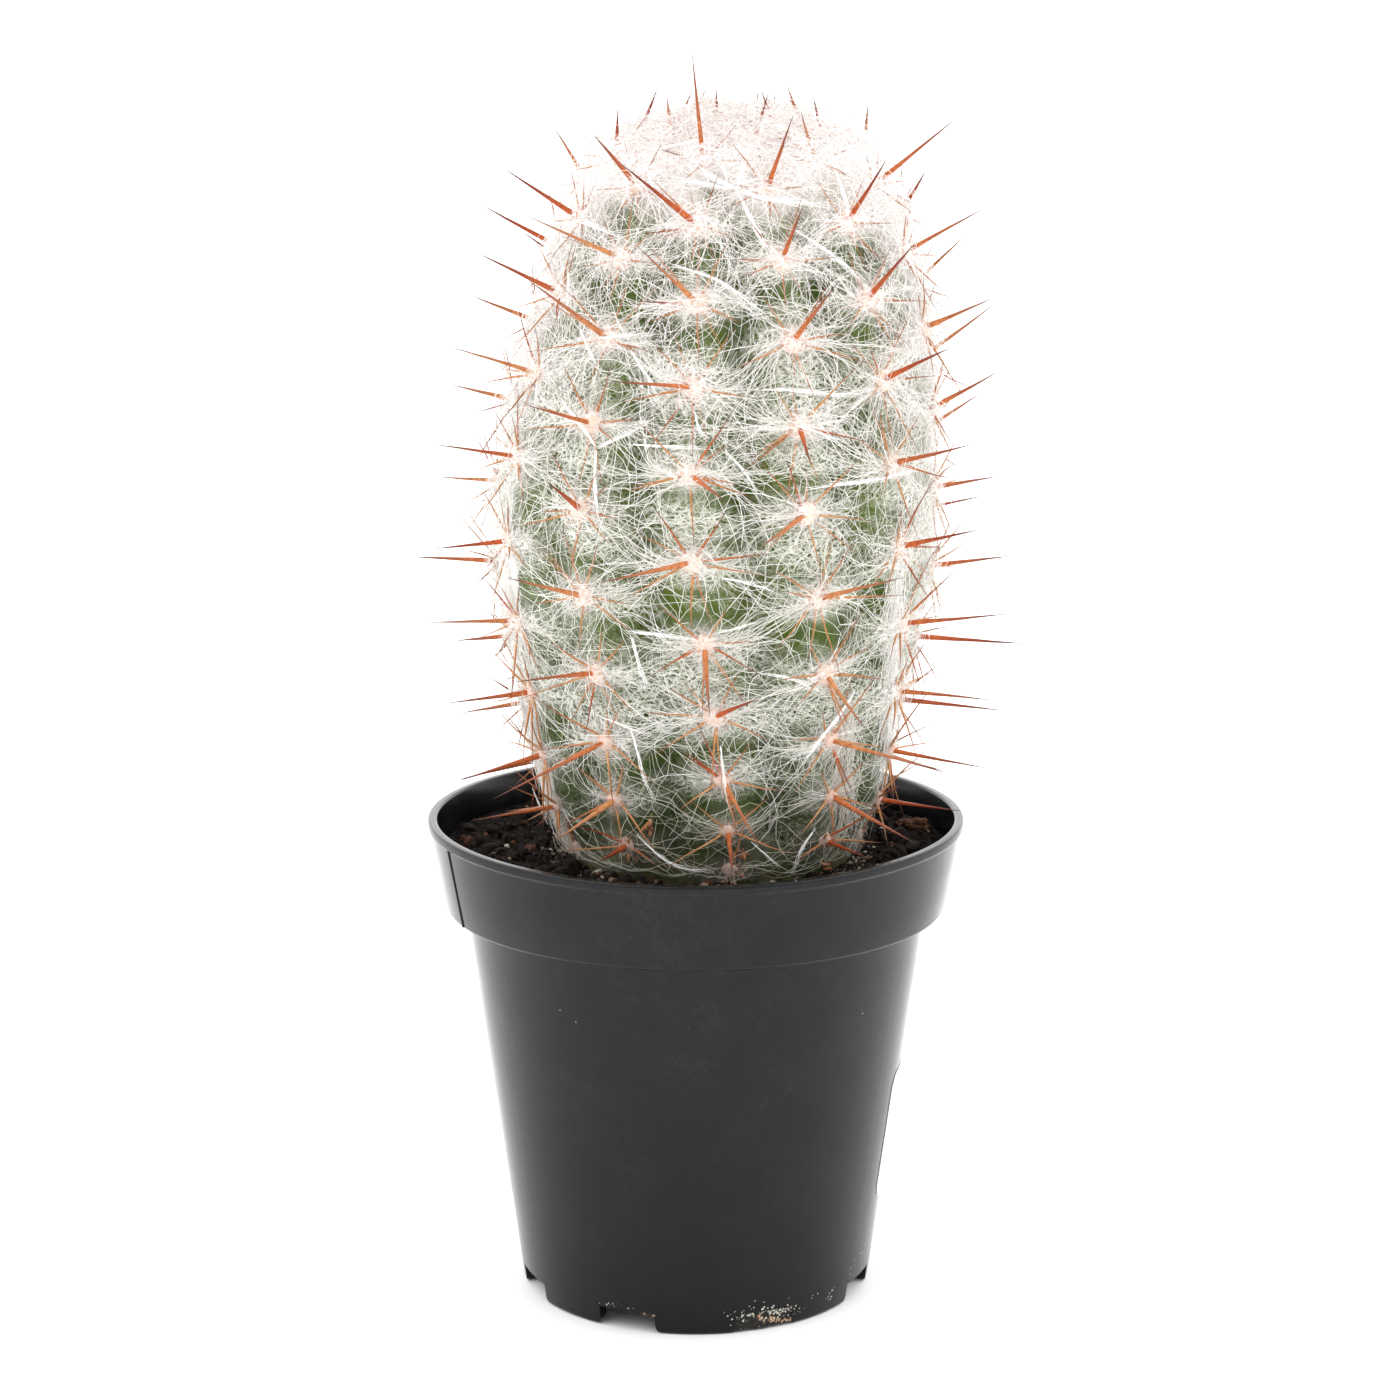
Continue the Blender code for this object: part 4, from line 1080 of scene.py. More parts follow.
class Areole:
    """One spined pad: where it sits on its rib and which way out, up and sideways are there."""

    def __init__(self, rib, step):
        self.rib, self.step = rib, step
        length = AREOLES[rib][step]
        self.centre = crest_point(rib, length)
        before, after = length - SLOPE_STEP, length + SLOPE_STEP
        self.up = (crest_point(rib, after) - crest_point(rib, before)).normalized()
        radius, self.height = crest_at(length)
        below, above = crest_at(before), crest_at(after)
        slope = Vector((above[1] - below[1], below[0] - above[0])).normalized()
        angle = twisted(FIRST_RIB + RIB_ANGLE * rib, self.height)
        self.out = about_axis(slope.x, angle, slope.y).normalized()
        self.side = self.up.cross(self.out).normalized()
        self.place, *self.axes = (np.array(v) for v in (self.centre, self.side, self.up, self.out))
        self.has_solid = self.height > LOWEST_PAD and radius > INNERMOST_PAD
        self.room = min(1.0, max(0.25, radius / CROWN_ROOM))
        self.pad_size = lerp(0.55, 1.0, self.room) * lerp(2.2, 1.5, 1.0 - self.above(92, 130)) * MM
        # 0 for the young cream pads of the upper half and 1 for the brown ones near the soil
        self.pad_age = 1.0 - self.above(96, 158)
        # How long the spines are: the young ones at the crown are still short
        self.youth = lerp(1.0, CROWN_LENGTH, float(ramp(self.height, *CROWN)))
        self.draws = random.Random(SEED + 100 * rib + step)
        self.more = random.Random(SEED + 100 * rib + step + 5000)

    def above(self, low, high):
        """0 for an areole at the low height in millimetres or under it, and 1 from the high one on."""
        return float(ramp(self.height, low * MM, high * MM))

    def by_clock(self, hour, lean):
        """A direction that leans from straight out towards an hour of the clock."""
        turn = math.radians(30 * hour)
        across = self.up * math.cos(turn) + self.side * math.sin(turn)
        return self.out * math.cos(lean) + across * math.sin(lean)

    def pad_corner(self, turn, radius, depth):
        across = self.side * radius * math.sin(turn)
        return self.centre + across + self.up * radius * math.cos(turn) + self.out * depth

    def central_spine(self):
        """Direction and length of the long middle spine."""
        first, *seen = FRONT_SPINES.get(self.rib, (0,))
        if 0 <= self.step - first < len(seen):
            hour, spread, length = seen[self.step - first]
            turn = math.radians(30 * hour)
            picture = Vector((math.sin(turn), 0, math.cos(turn)))
            return (self.out + picture * spread).normalized(), length * MM
        rise = lerp(*CENTRAL_RISE, (self.height - LOWEST_PAD) / (CREST_HEIGHTS[-1] - LOWEST_PAD))
        rise += self.draws.uniform(-CENTRAL_RISE_DRIFT, CENTRAL_RISE_DRIFT)
        sideways = self.draws.uniform(-CENTRAL_SIDE_DRIFT, CENTRAL_SIDE_DRIFT)
        direction = self.out + self.up * rise + self.side * sideways
        return direction.normalized(), self.youth * self.draws.uniform(*CENTRAL_LENGTH)

    def radial_spines(self):
        """Roots, directions and lengths of the spines round the areole: one for each side of its pad as
        in the solid, and further thin ones pressed close to the stem."""
        for side in range(RADIALS):
            hour = 12 * (side + 0.5) / RADIALS + self.draws.uniform(-HOUR_DRIFT, HOUR_DRIFT)
            direction = self.by_clock(hour, self.draws.uniform(*RADIAL_LEAN))
            length = self.youth * self.draws.uniform(*RADIAL_LENGTH)
            turn = math.tau * (side + 0.5) / RADIALS
            spread = math.cos(math.pi / RADIALS) * (PAD_RADIUS + PAD_TOP_RADIUS) / 2
            yield self.pad_corner(turn, spread, (PAD_SHOULDER + PAD_HEIGHT) / 2), direction, length
        for spine in range(EXTRA_RADIALS if self.height > RIBS_FULL_Z + 8 * MM else 0):
            hour = 12 * (spine + 0.25) / EXTRA_RADIALS + self.more.uniform(-2.0, 2.0)
            root = self.pad_corner(math.radians(30 * hour), 1.1 * MM, 0.5 * MM)
            direction = self.by_clock(hour, self.more.uniform(*EXTRA_LEAN))
            yield root, direction, self.youth * self.more.uniform(*EXTRA_LENGTH)


def cleared(base, tip):
    """Lifts a spine's tip until the whole spine passes over the soil and over the pot's rim."""
    tip = tip.copy()
    shares = [sample / SPINE_SAMPLES for sample in range(1, SPINE_SAMPLES + 1)]
    while any(too_low(base.lerp(tip, share)) for share in shares):
        tip.z += SPINE_LIFT
    return tip


def too_low(point):
    in_rim_zone = RIM_ZONE[0] < math.hypot(point.x, point.y) < RIM_ZONE[1]
    return point.z < (CLEAR_OF_RIM if in_rim_zone else CLEAR_OF_SOIL)


# Strands and lumps


class Strands:
    """Polylines that a tree turns into tubes: paths, thicknesses, tones and lit shares, which set a painted shade
    or glow, gathered in parts.
    """

    def __init__(self):
        self.parts = []

    def add(self, paths, thickness, tone, lit_share=1.0):
        values = (np.broadcast_to(value, len(paths)) for value in (thickness, tone, lit_share))
        self.parts.append((np.asarray(paths, float), *values))

    def tubes(self, name, slot, material, kind=None):
        """The finished piece: every path swept to a closed tube."""
        paths, *values = (np.concatenate(part) for part in zip(*self.parts))
        count, points = paths.shape[:2]
        guide = bpy.data.meshes.new(name)
        guide.vertices.add(count * points)
        guide.vertices.foreach_set("co", paths.reshape(-1).astype(np.float32))
        starts = (np.arange(count)[:, None] * points + np.arange(points - 1)).ravel()
        guide.edges.add(len(starts))
        guide.edges.foreach_set("vertices", np.stack([starts, starts + 1], axis=1).ravel().astype(np.int32))
        values = zip(("thickness", "tone", "lit_share", "strand"), (*values, np.arange(count)))
        mark(guide, **{label: np.repeat(numbers, points) for label, numbers in values})
        sides, steps, tip_share, power, height, size, seed = TUBES[kind or name]
        grow(name, slot, guide, "strands", material, sides=sides, points=steps, tip_share=tip_share,
             taper_power=power, wave_height=height * MM, wave_size=size * MM, seed=seed)


def set_lumps(name, slot, material, lumps, height_share, rough_height, rough_size, subdivisions):
    """Low rough lumps, each by its place, way out, size and tone."""
    places, ways, sizes, tones = zip(*lumps)
    guide = bpy.data.meshes.new(name)
    guide.from_pydata([tuple(place) for place in places], [], [])
    mark(guide, out=[tuple(way) for way in ways], size=sizes, tone=tones)
    grow(name, slot, guide, "cushions", material, height_share=height_share, rough_height=rough_height * MM,
         rough_size=rough_size * MM, subdivisions=subdivisions)


def crept(rng, roots, headings, lengths, lifts, ends, sags, curls, steps):
    """Paths that creep over the stem. Each starts at its root with its heading, turns as it goes from
    its first curl to its last, and keeps its own height over the crests: it rises to its lift, ends at
    its share of it, and sinks into the valleys by its sag."""
    points = [roots]
    place, heading = roots, headings
    stride = (lengths / steps)[:, None]
    start, _, _ = envelope_at(roots)
    for step in range(1, steps + 1):
        _, out, _ = envelope_at(place)
        heading = unit(heading - out * dots(heading, out))
        share = step / steps
        turn = (lerp(curls[:, 0], curls[:, 1], share) + rng.normal(0.0, HAIR_WANDER, len(roots)))[:, None]
        heading = np.cos(turn) * heading + np.sin(turn) * np.cross(out, heading)
        place = place + stride * heading
        height, out, crest_radius = envelope_at(place)
        rise = min(1.0, share * 2.5)
        fall = lerp(1.0, ends, max(0.0, share - 0.4) / 0.6)
        wanted = lerp(start, (lifts * fall)[:, None], rise)
        wanted = wanted - rise * sags[:, None] * valley_depth(place, crest_radius)
        place = off_soil(place + out * (wanted - height))
        points.append(place)
    return np.stack(points, axis=1)


def off_soil(places):
    """The places, none of them lower than the hair may lie."""
    places[..., 2] = np.maximum(places[..., 2], HAIR_FLOOR)
    return places


# Pieces: stem


def ring_of(radius, z, count, centre_x=0.0):
    return [about_axis(radius, -math.tau * i / count, z, centre_x) for i in range(count)]


def make_skin():
    """The ribbed skin: a round stem with the rib marks, pressed into ribs by its tree."""
    shares = [column / SKIN_COLUMNS_PER_RIB - 0.5 for column in range(SKIN_COLUMNS_PER_RIB)]
    columns = [(rib, share) for rib in range(RIBS) for share in shares]
    rows = round(CREST_LENGTH / SKIN_ROW)
    marks = []

    def point_at(rib, across, length):
        radius, z = crest_at(length)
        angle = twisted(FIRST_RIB + RIB_ANGLE * (rib + across), z)
        full = float(crown_share(z))
        outward = (math.sin(angle), -math.cos(angle), 0.0)
        marks.append((across, full * radius, full * chin_share(rib, length, radius), outward))
        return about_axis(radius, angle, z, float(stem_x(z)))

    rings = [[point_at(0, 0.5, 0.0)]]
    rings[0][0] = Vector((float(stem_x(0.0)), 0.0, CREST_HEIGHTS[0]))
    for row in range(rows):
        rings.append([point_at(rib, across, CREST_LENGTH * row / rows) for rib, across in columns])
    rings.append([point_at(0, 0.5, CREST_LENGTH)])
    guide = mesh_from(skinned(rings), "cactus_skin")
    mark(guide, **dict(zip(("across", "room", "chin", "outward"), zip(*marks))))
    grow("cactus_skin", "cactus_skin", guide, "ribs", "cactus_skin", replaces="cactus", rib_depth=RIB_DEPTH,
         roundness=RIB_ROUNDNESS, chin_height=BUMP_HEIGHT)


def outline_sheen_share(places):
    """1 on the two flanks of the upper stem as seen from the front, and 0 elsewhere: there the hair is thicker and
    the down whiter and hazier, a painted sheen of the outline.
    """
    x = places[:, 0] - stem_x(places[:, 2])
    turned_away = np.abs(x) / np.maximum(np.hypot(x, places[:, 1]), 1e-6)
    return ramp(turned_away, 0.74, 0.96) * ramp(places[:, 2], 120 * MM, 158 * MM)


def band_strength(places):
    """How thick the hair lies by nature: bands of 1 and windows of 0 that wander across the stem."""
    rng = np.random.default_rng(SEED + 9)
    ways = rng.normal(0.0, 1.0, (UNEVEN_WAVES, 3)) * math.tau / UNEVEN_LENGTH
    starts = rng.random(UNEVEN_WAVES) * math.tau
    waves = np.cos(places @ ways.T + starts).sum(axis=1) / math.sqrt(UNEVEN_WAVES / 2)
    return ramp(waves, -0.5, 1.1)


def covered(areoles, places):
    """How thick the hair lies: most round each areole and to both sides of it, less over the crests
    between one areole and the next. Then how near the pads are."""
    cover, pads = np.zeros(len(places)), np.zeros(len(places))
    for areole in areoles:
        off = places - areole.place
        across, along = off @ areole.axes[0], off @ areole.axes[1]
        reach = lerp(4 * MM, 8.5 * MM, areole.room)
        cover = np.maximum(cover, np.exp(-0.5 * ((across / reach) ** 2 + (along / (2.8 * MM)) ** 2)))
        pads = np.maximum(pads, np.exp(-0.5 * (off**2).sum(axis=1) / (2.3 * MM) ** 2))
    return cover, pads


def hair_thickness(cover, places, bands):
    """Hair lies thick round the areoles, in the bands, and on the flanks as seen from the front, for a painted
    sheen of the outline.
    """
    return np.maximum(np.maximum(cover, bands * band_strength(places)), 0.5 * outline_sheen_share(places))


def gathered(rng, areoles, paths, least):
    """The paths drawn together up or down into the nearest band, and which of them lie thick enough."""
    places = paths.reshape(-1, 3)
    _, out, _ = envelope_at(places)
    up = unit(np.array([0.0, 0.0, 1.0]) - out * out[:, 2:])

    def thick(places):
        return hair_thickness(covered(areoles, places)[0], places, 0.85)

    rise = thick(places + up * 1.2 * MM) - thick(places - up * 1.2 * MM)
    shift = (np.clip(rise * 3.0, -1.0, 1.0) * 1.3 * MM).reshape(paths.shape[:2])
    shift = lerp(shift, shift.mean(axis=1, keepdims=True), 0.6)
    places = places + up * shift.reshape(-1, 1)
    here = thick(places).reshape(paths.shape[:2]).mean(axis=1)
    keep = here + rng.normal(0.0, 0.10, len(paths)) > least
    return off_soil(places.reshape(paths.shape)), keep


def outline_lift(z):
    heights, lifts = zip(*OUTLINE_LIFTS)
    return np.interp(np.asarray(z) / MM, heights, lifts) * MM


def make_down(areoles):
    """Closed clear shells over the stem, which the finest down is drawn on."""
    start = length_at_height(HAIR_FLOOR)
    rows = round((CREST_LENGTH - start) / DOWN_ROW)
    crest = []
    for length in np.linspace(start, CREST_LENGTH, rows + 1)[:-1]:
        radius, z = crest_at(length)
        crest += ring_of(radius, z, DOWN_COLUMNS, float(stem_x(z)))
    crest.append(about_axis(0.0, 0.0, float(CREST_HEIGHTS[-1]), float(stem_x(CREST_HEIGHTS[-1]))))
    crest = np.array(crest)
    _, out, radii = envelope_at(crest)
    out[-1] = (0.0, 0.0, 1.0)
    cover, pads = covered(areoles, crest)
    # The flanks as seen from the front get whiter, hazier down: a painted sheen of the outline
    outline_sheen = outline_sheen_share(crest)
    cover = ramp(hair_thickness(cover, crest, 0.55), 0.28, 1.0)
    depth = valley_depth(crest, radii)
    clouds = np.array([noise.noise(Vector(p) / (7.0 * MM)) for p in crest])
    low = ramp(crest[:, 2], 116 * MM, 92 * MM)
    high = ramp(crest[:, 2] + (clouds * 7 + outline_sheen * 8) * MM, 207 * MM, 227 * MM)
    for layer, (name, share, sag, strength, mist, pad_mist) in enumerate(DOWN_LAYERS):
        uneven = np.array([noise.noise(Vector(p) / (3.6 * MM) + Vector((layer * 9.0, 0, 0))) for p in crest])
        lift = outline_lift(crest[:, 2])[:, None] * share * (1 + 0.6 * uneven[:, None]) + 0.2 * MM
        shell = crest + out * (lift - sag * depth)
        rings = np.split(shell, np.arange(0, len(crest), DOWN_COLUMNS))[1:]
        mesh = mesh_from(skinned([[(float(stem_x(HAIR_FLOOR)), 0.0, HAIR_FLOOR)], *rings]), name)
        values = {
            "cover": strength * cover * (1 - 0.8 * low) + 0.2 * high,
            "mist": np.maximum(np.maximum(mist * high, 0.08 * outline_sheen), pad_mist * pads * (1 - 0.7 * low)),
            "tone": 0.45 * low,
            # Low on the inner layers for a grey-green painted shade; high on the outer layers, the crown, the pads
            # and the flanks, which are white and glow
            "lit_share": np.clip(share * 0.9 + 0.8 * high + 0.6 * pads + 0.5 * outline_sheen, 0.0, 1.0),
            "layer": np.full(len(crest), 1.7 * layer),
        }
        mark(mesh, **{label: np.concatenate([numbers[:1], numbers]) for label, numbers in values.items()})
        piece_from(mesh, name, "hair", "down_white")


def make_pads(areoles):
    """The felt cushion of each areole and the short wool that stands out of it."""
    cushions = [(a.centre + a.out * 0.3 * MM, a.out, a.pad_size, a.pad_age) for a in areoles]
    set_lumps("areole_cushions", "hair", "wool_cream", cushions, 0.6, 1.0, 1.5, 2)
    rng = np.random.default_rng(SEED)
    strands = Strands()
    for areole in areoles:
        count = round(lerp(18, 34, areole.room))
        spread = np.sqrt(rng.random(count))
        turn = rng.random(count) * math.tau
        side, up, out = areole.axes
        flat = np.cos(turn)[:, None] * side + np.sin(turn)[:, None] * up
        root = areole.place + flat * (spread * areole.pad_size * 0.85)[:, None] + out * 0.3 * MM
        lean = flat * (0.2 + 1.3 * spread[:, None]) + out + up * 0.2
        reach = unit(lean) * (rng.uniform(1.2, 3.0, count) * MM * areole.pad_size / PAD_RADIUS)[:, None]
        bend = np.cross(out, flat) * (rng.normal(0, 0.5, count) * MM)[:, None]
        paths = np.stack([root, root + reach * 0.5 + bend, root + reach], axis=1)
        tone = np.clip(areole.pad_age + rng.normal(-0.1, 0.2, count), 0.0, 1.0)
        strands.add(paths, rng.uniform(0.12, 0.20, count) * MM, tone, 1.0)
    strands.tubes("areole_wool", "hair", "wool_cream")


def make_spines(areoles):
    """The long middle spines, and thinner ones all round each areole."""
    rng = np.random.default_rng(SEED + 1)
    middle, around = Strands(), Strands()
    for areole in areoles:
        if areole.has_solid:
            high = areole.above(150, 205)
            for root, direction, length in areole.radial_spines():
                tip = cleared(root, root + direction * length)
                tone = rng.normal(0.75, 0.12) if rng.random() < 0.25 else rng.normal(0.12 + 0.1 * high, 0.1)
                thick = rng.uniform(0.85, 1.15) * lerp(0.54, 0.44, high) * MM
                around.add([spine_path(rng, areole, root, tip)], thick, np.clip(tone, 0, 1), 1.0)
        direction, length = areole.central_spine()
        if not areole.has_solid:
            length *= 0.55
        root = areole.centre + areole.out * PAD_HEIGHT * 0.5
        tip = cleared(root, root + areole.out * PAD_HEIGHT * 0.5 + direction * length)
        thick = rng.uniform(1.0, 1.35) * MM * (1.0 if areole.has_solid else 0.5)
        middle.add([spine_path(rng, areole, root, tip)], thick, np.clip(rng.normal(0.72, 0.28), 0.1, 1), 1.0)
    middle.tubes("spines_middle", "spines", "spine_horn")
    around.tubes("spines_around", "spines", "spine_horn")


def spine_path(rng, areole, root, tip):
    """Four points from sunk root to tip, with the slightest bow."""
    root, tip = np.array(root), np.array(tip)
    sunk = root - (tip - root) * 0.04
    bow = areole.axes[2] * rng.normal(0.0, 0.015) * np.linalg.norm(tip - root)
    return np.array([sunk, lerp(root, tip, 0.33) + bow, lerp(root, tip, 0.66) + bow, tip])


def make_hair(areoles):
    rng = np.random.default_rng(SEED + 2)
    fuzz = Strands()
    edges = [low * MM for _, low, _, _, _ in HAIR_ZONES[1:]] + [1.0]
    for (name, low, long_hairs, short_hairs, thickness), high in zip(HAIR_ZONES, edges):
        strands = Strands()
        for areole in areoles:
            if low * MM <= areole.height < high:
                near = [other for other in areoles if (other.centre - areole.centre).length < 32 * MM]
                # More hair on the flanks as seen from the front, for the painted sheen of the outline
                more = areole.room * (1 + 0.35 * float(outline_sheen_share(areole.place[None])[0]))
                add_long_hair(strands, rng, areole, near, round(long_hairs * more), thickness * MM)
                add_fuzz(fuzz, rng, areole, near, round(short_hairs * more))
        strands.tubes(name, "hair", "hair_white", "hair")
    fuzz.tubes("hair_fuzz", "hair", "hair_white")


def add_long_hair(strands, rng, areole, near, count, thickness):
    """Long hair of one areole: locks that sweep to both sides over the valleys, and loose curls that
    lie anywhere near it."""
    high = areole.above(165, 212)
    side, up, out = areole.axes
    right = rng.random(count) < 0.5
    loose = rng.random(count) < lerp(0.42, 0.50, high)
    lock_bearing = np.where(right, rng.normal(0.0, 0.22), math.pi + rng.normal(0.0, 0.22))
    lock_curl = np.where(right, rng.normal(0.0, 0.07), rng.normal(0.0, 0.07))
    loose_turn = rng.random(count) * math.tau
    loose_bearing = np.arctan2(0.5 * np.sin(loose_turn), np.cos(loose_turn))
    bearing = np.where(loose, loose_bearing, lock_bearing + rng.normal(0.0, 0.19, count))
    headings = np.cos(bearing)[:, None] * side + np.sin(bearing)[:, None] * up
    share = rng.uniform(0.5, 1.1, (count, 1))
    beside = np.cross(out, headings) * (rng.normal(0.0, 0.35, (count, 1)) * areole.pad_size)
    root_height = lerp(1.2 * MM, -0.3 * MM, share)
    roots = areole.place + headings * share * areole.pad_size + beside + out * root_height
    lengths = rng.gamma(6.0, 1.0, count) / 6.0 * np.where(loose, 15.0, 20.0) * MM
    lengths = np.clip(lengths, 8 * MM, 34 * MM)
    lifts = (0.3 + rng.gamma(2.0, 1.0, count) / 2.0 * 0.75) * outline_lift(areole.height)
    lifts = np.minimum(lifts, 1.7 * outline_lift(areole.height))
    drift = rng.normal(0.0, 1.0, (count, 2)) * loose[:, None] * HAIR_DRIFT
    roots = roots + drift[:, :1] * side + drift[:, 1:] * up
    roots = roots + loose[:, None] * to_root(roots, lifts, rng.random((count, 1)))
    sags = rng.beta(0.8, 2.2, count) * 0.9
    curls = lock_curl[:, None] + rng.normal(0.0, 1.0, (count, 2)) * np.where(loose, 0.50, 0.14)[:, None]
    ends = rng.uniform(-0.1, 1.3, count)
    paths = crept(rng, roots, headings, lengths, lifts, ends, sags, curls, 8)
    paths, keep = gathered(rng, near, paths, lerp(0.43, 0.27, high))
    # Hair that lies low on the skin gets a grey-green painted shade; lifted hair and hair over the crown is white
    # and glows
    lit_share = ramp(lifts, 0.2 * MM, 2.6 * MM) + rng.normal(0.0, 0.15, count) + 0.8 * high
    thick = rng.uniform(0.75, 1.3, count) * thickness
    add_kept(strands, rng, areole, keep, paths, thick, lit_share)


def add_fuzz(strands, rng, areole, near, count):
    """Short tangled curls on and near one areole."""
    high = areole.above(185, 215)
    side, up, _ = areole.axes
    way = rng.random(count) * math.tau
    away = rng.normal(0.0, 1.0, (count, 2)) * HAIR_DRIFT
    place = areole.place + away[:, :1] * side + away[:, 1:] * up
    shares = rng.random((count, 1))
    lifts = rng.uniform(0.15, 1.2, count) * outline_lift(areole.height)
    roots = place + to_root(place, lifts, shares)
    headings = np.cos(way)[:, None] * side * 1.2 + np.sin(way)[:, None] * up
    lengths = rng.uniform(5.0, 12.0, count) * MM
    sags = rng.random(count) * 0.5
    curls = rng.normal(0.0, 0.55, (count, 2))
    paths = crept(rng, roots, headings, lengths, lifts, rng.uniform(0.3, 1.3, count), sags, curls, 5)
    paths, keep = gathered(rng, near, paths, lerp(0.53, 0.33, high))
    # Low-lying fuzz gets a grey-green painted shade; lifted fuzz is white and glows
    lit_share = ramp(lifts, 0.2 * MM, 2.4 * MM) + 0.8 * high + rng.normal(0.0, 0.15, count)
    thick = rng.uniform(0.09, 0.14, count) * MM
    add_kept(strands, rng, areole, keep, paths, thick, lit_share)


def to_root(places, lifts, shares):
    """The way from each place to where its hair grows: by its share towards the skin in the valley."""
    height, out, crest_radius = envelope_at(places)
    return out * (0.3 * lifts[:, None] - height - valley_depth(places, crest_radius) * shares * 0.5)


def add_kept(strands, rng, areole, keep, paths, thick, lit_share):
    """Adds the hairs that are kept. Hair is white, and dirtier towards the soil."""
    low = 1.0 - areole.above(92, 116)
    tone = np.clip(rng.normal(0.04 + 0.35 * low, 0.06 + 0.25 * low, len(keep)), 0.0, 0.9)
    strands.add(paths[keep], thick[keep], tone[keep], np.clip(lit_share, 0.0, 1.0)[keep])


def make_bright_strands():
    """Glued strands all round the stem and combed tracks of hair, each a bundle along its line."""
    rng = np.random.default_rng(SEED + 3)
    strands = Strands()
    for width, *pixels in BRIGHT_STRANDS.values():
        seen = even_line(seen_on_stem(pixels, STRAND_LIFT), 9)
        for turn in STRAND_TURNS:
            line = turned_about_stem(seen, math.radians(turn))
            lines = feathered(rng, line, round(6 + width * 10))
            add_bundle(strands, rng, lines, width * 0.20 * MM, 0.09 * MM, -min(1.0, 1.2 * width))
    for width, count, tone, *pixels in COMBED_TRACKS.values():
        line = even_line(seen_on_stem(pixels, 0.9 * MM), 60)
        starts = (rng.random(count) * 40).astype(int)
        pieces = np.stack([line[start:start + 18:2] for start in starts])
        add_bundle(strands, rng, pieces, width * 0.4 * MM, 0.13 * MM, tone)
    strands.tubes("bright_strands", "hair", "hair_white")


def feathered(rng, line, count):
    """Copies of a line that all start near its start, and end one after another along it."""
    starts = rng.uniform(0.0, 0.25, count)
    ends = rng.uniform(0.50, 1.0, count)
    places = lerp(starts[:, None], ends[:, None], np.linspace(0.0, 1.0, 9))
    steps = np.linspace(0.0, 1.0, len(line))
    return np.stack([np.interp(places, steps, line[:, axis]) for axis in range(3)], axis=2)


def turned_about_stem(line, angle):
    """The line carried round the stem, and set back at its height over the crests."""
    if angle == 0:
        return line
    cos, sin = math.cos(angle), math.sin(angle)
    return lifted(line @ np.array([[cos, -sin, 0.0], [sin, cos, 0.0], [0.0, 0.0, 1.0]]).T, STRAND_LIFT)


def even_line(points, count):
    """The line through the points as evenly spaced ones, with its corners eased."""
    lengths = np.concatenate([[0.0], np.cumsum(np.linalg.norm(np.diff(points, axis=0), axis=1))])
    even = np.linspace(0.0, lengths[-1], count)
    line = np.stack([np.interp(even, lengths, points[:, axis]) for axis in range(3)], axis=1)
    for _ in range(2):
        line[1:-1] = (line[:-2] + 2 * line[1:-1] + line[2:]) / 4
    return line


def add_bundle(strands, rng, lines, spread, thickness, tone):
    """Hairs beside each other along their lines, which part towards their ends."""
    count, points, _ = lines.shape
    _, out, _ = envelope_at(lines.reshape(-1, 3))
    out = out.reshape(lines.shape)
    along = unit(np.gradient(lines, axis=1).reshape(-1, 3)).reshape(lines.shape)
    across = np.cross(out, along)
    part = lerp(0.7, 2.2, np.linspace(0.0, 1.0, points) ** 2)[None, :, None]
    beside = rng.normal(0.0, 1.0, (count, 1, 1)) + rng.normal(0.0, 0.3, (count, points, 1))
    above = rng.normal(0.0, 0.6, (count, 1, 1))
    lines = off_soil(lines + across * beside * spread * part + out * above * spread)
    strands.add(lines, rng.uniform(0.75, 1.2, count) * thickness, np.clip(rng.normal(tone, 0.1, count), -1.0, 0.8))


def make_nubs():
    """Clusters of short dry stubs where the oldest areoles have withered."""
    rng = np.random.default_rng(SEED + 4)
    strands = Strands()
    places = seen_on_stem(list(DRIED_NUBS.values()), -0.3 * MM)
    _, out, _ = envelope_at(places)
    for place, way in zip(places, out):
        for _ in range(8):
            root = place + rng.normal(0.0, 0.5, 3) * MM
            tip = root + unit((way + rng.normal(0.0, 0.5, 3))[None])[0] * rng.uniform(1.2, 2.2) * MM
            strands.add([np.linspace(root, tip, 4)], rng.uniform(0.6, 1.0) * MM, rng.uniform(0.0, 0.3))
    strands.tubes("dried_nubs", "spines", "spine_horn")


# Pieces: pot


def wall_radius(z):
    return lerp(BODY_BOTTOM_RADIUS, BODY_TOP_RADIUS, z / COLLAR_BOTTOM)


def collar_radius(z):
    share = (z - COLLAR_BOTTOM) / (POT_HEIGHT - LIP_HEIGHT - COLLAR_BOTTOM)
    return lerp(COLLAR_BOTTOM_RADIUS, RIM_RADIUS - LIP_STEP, share)


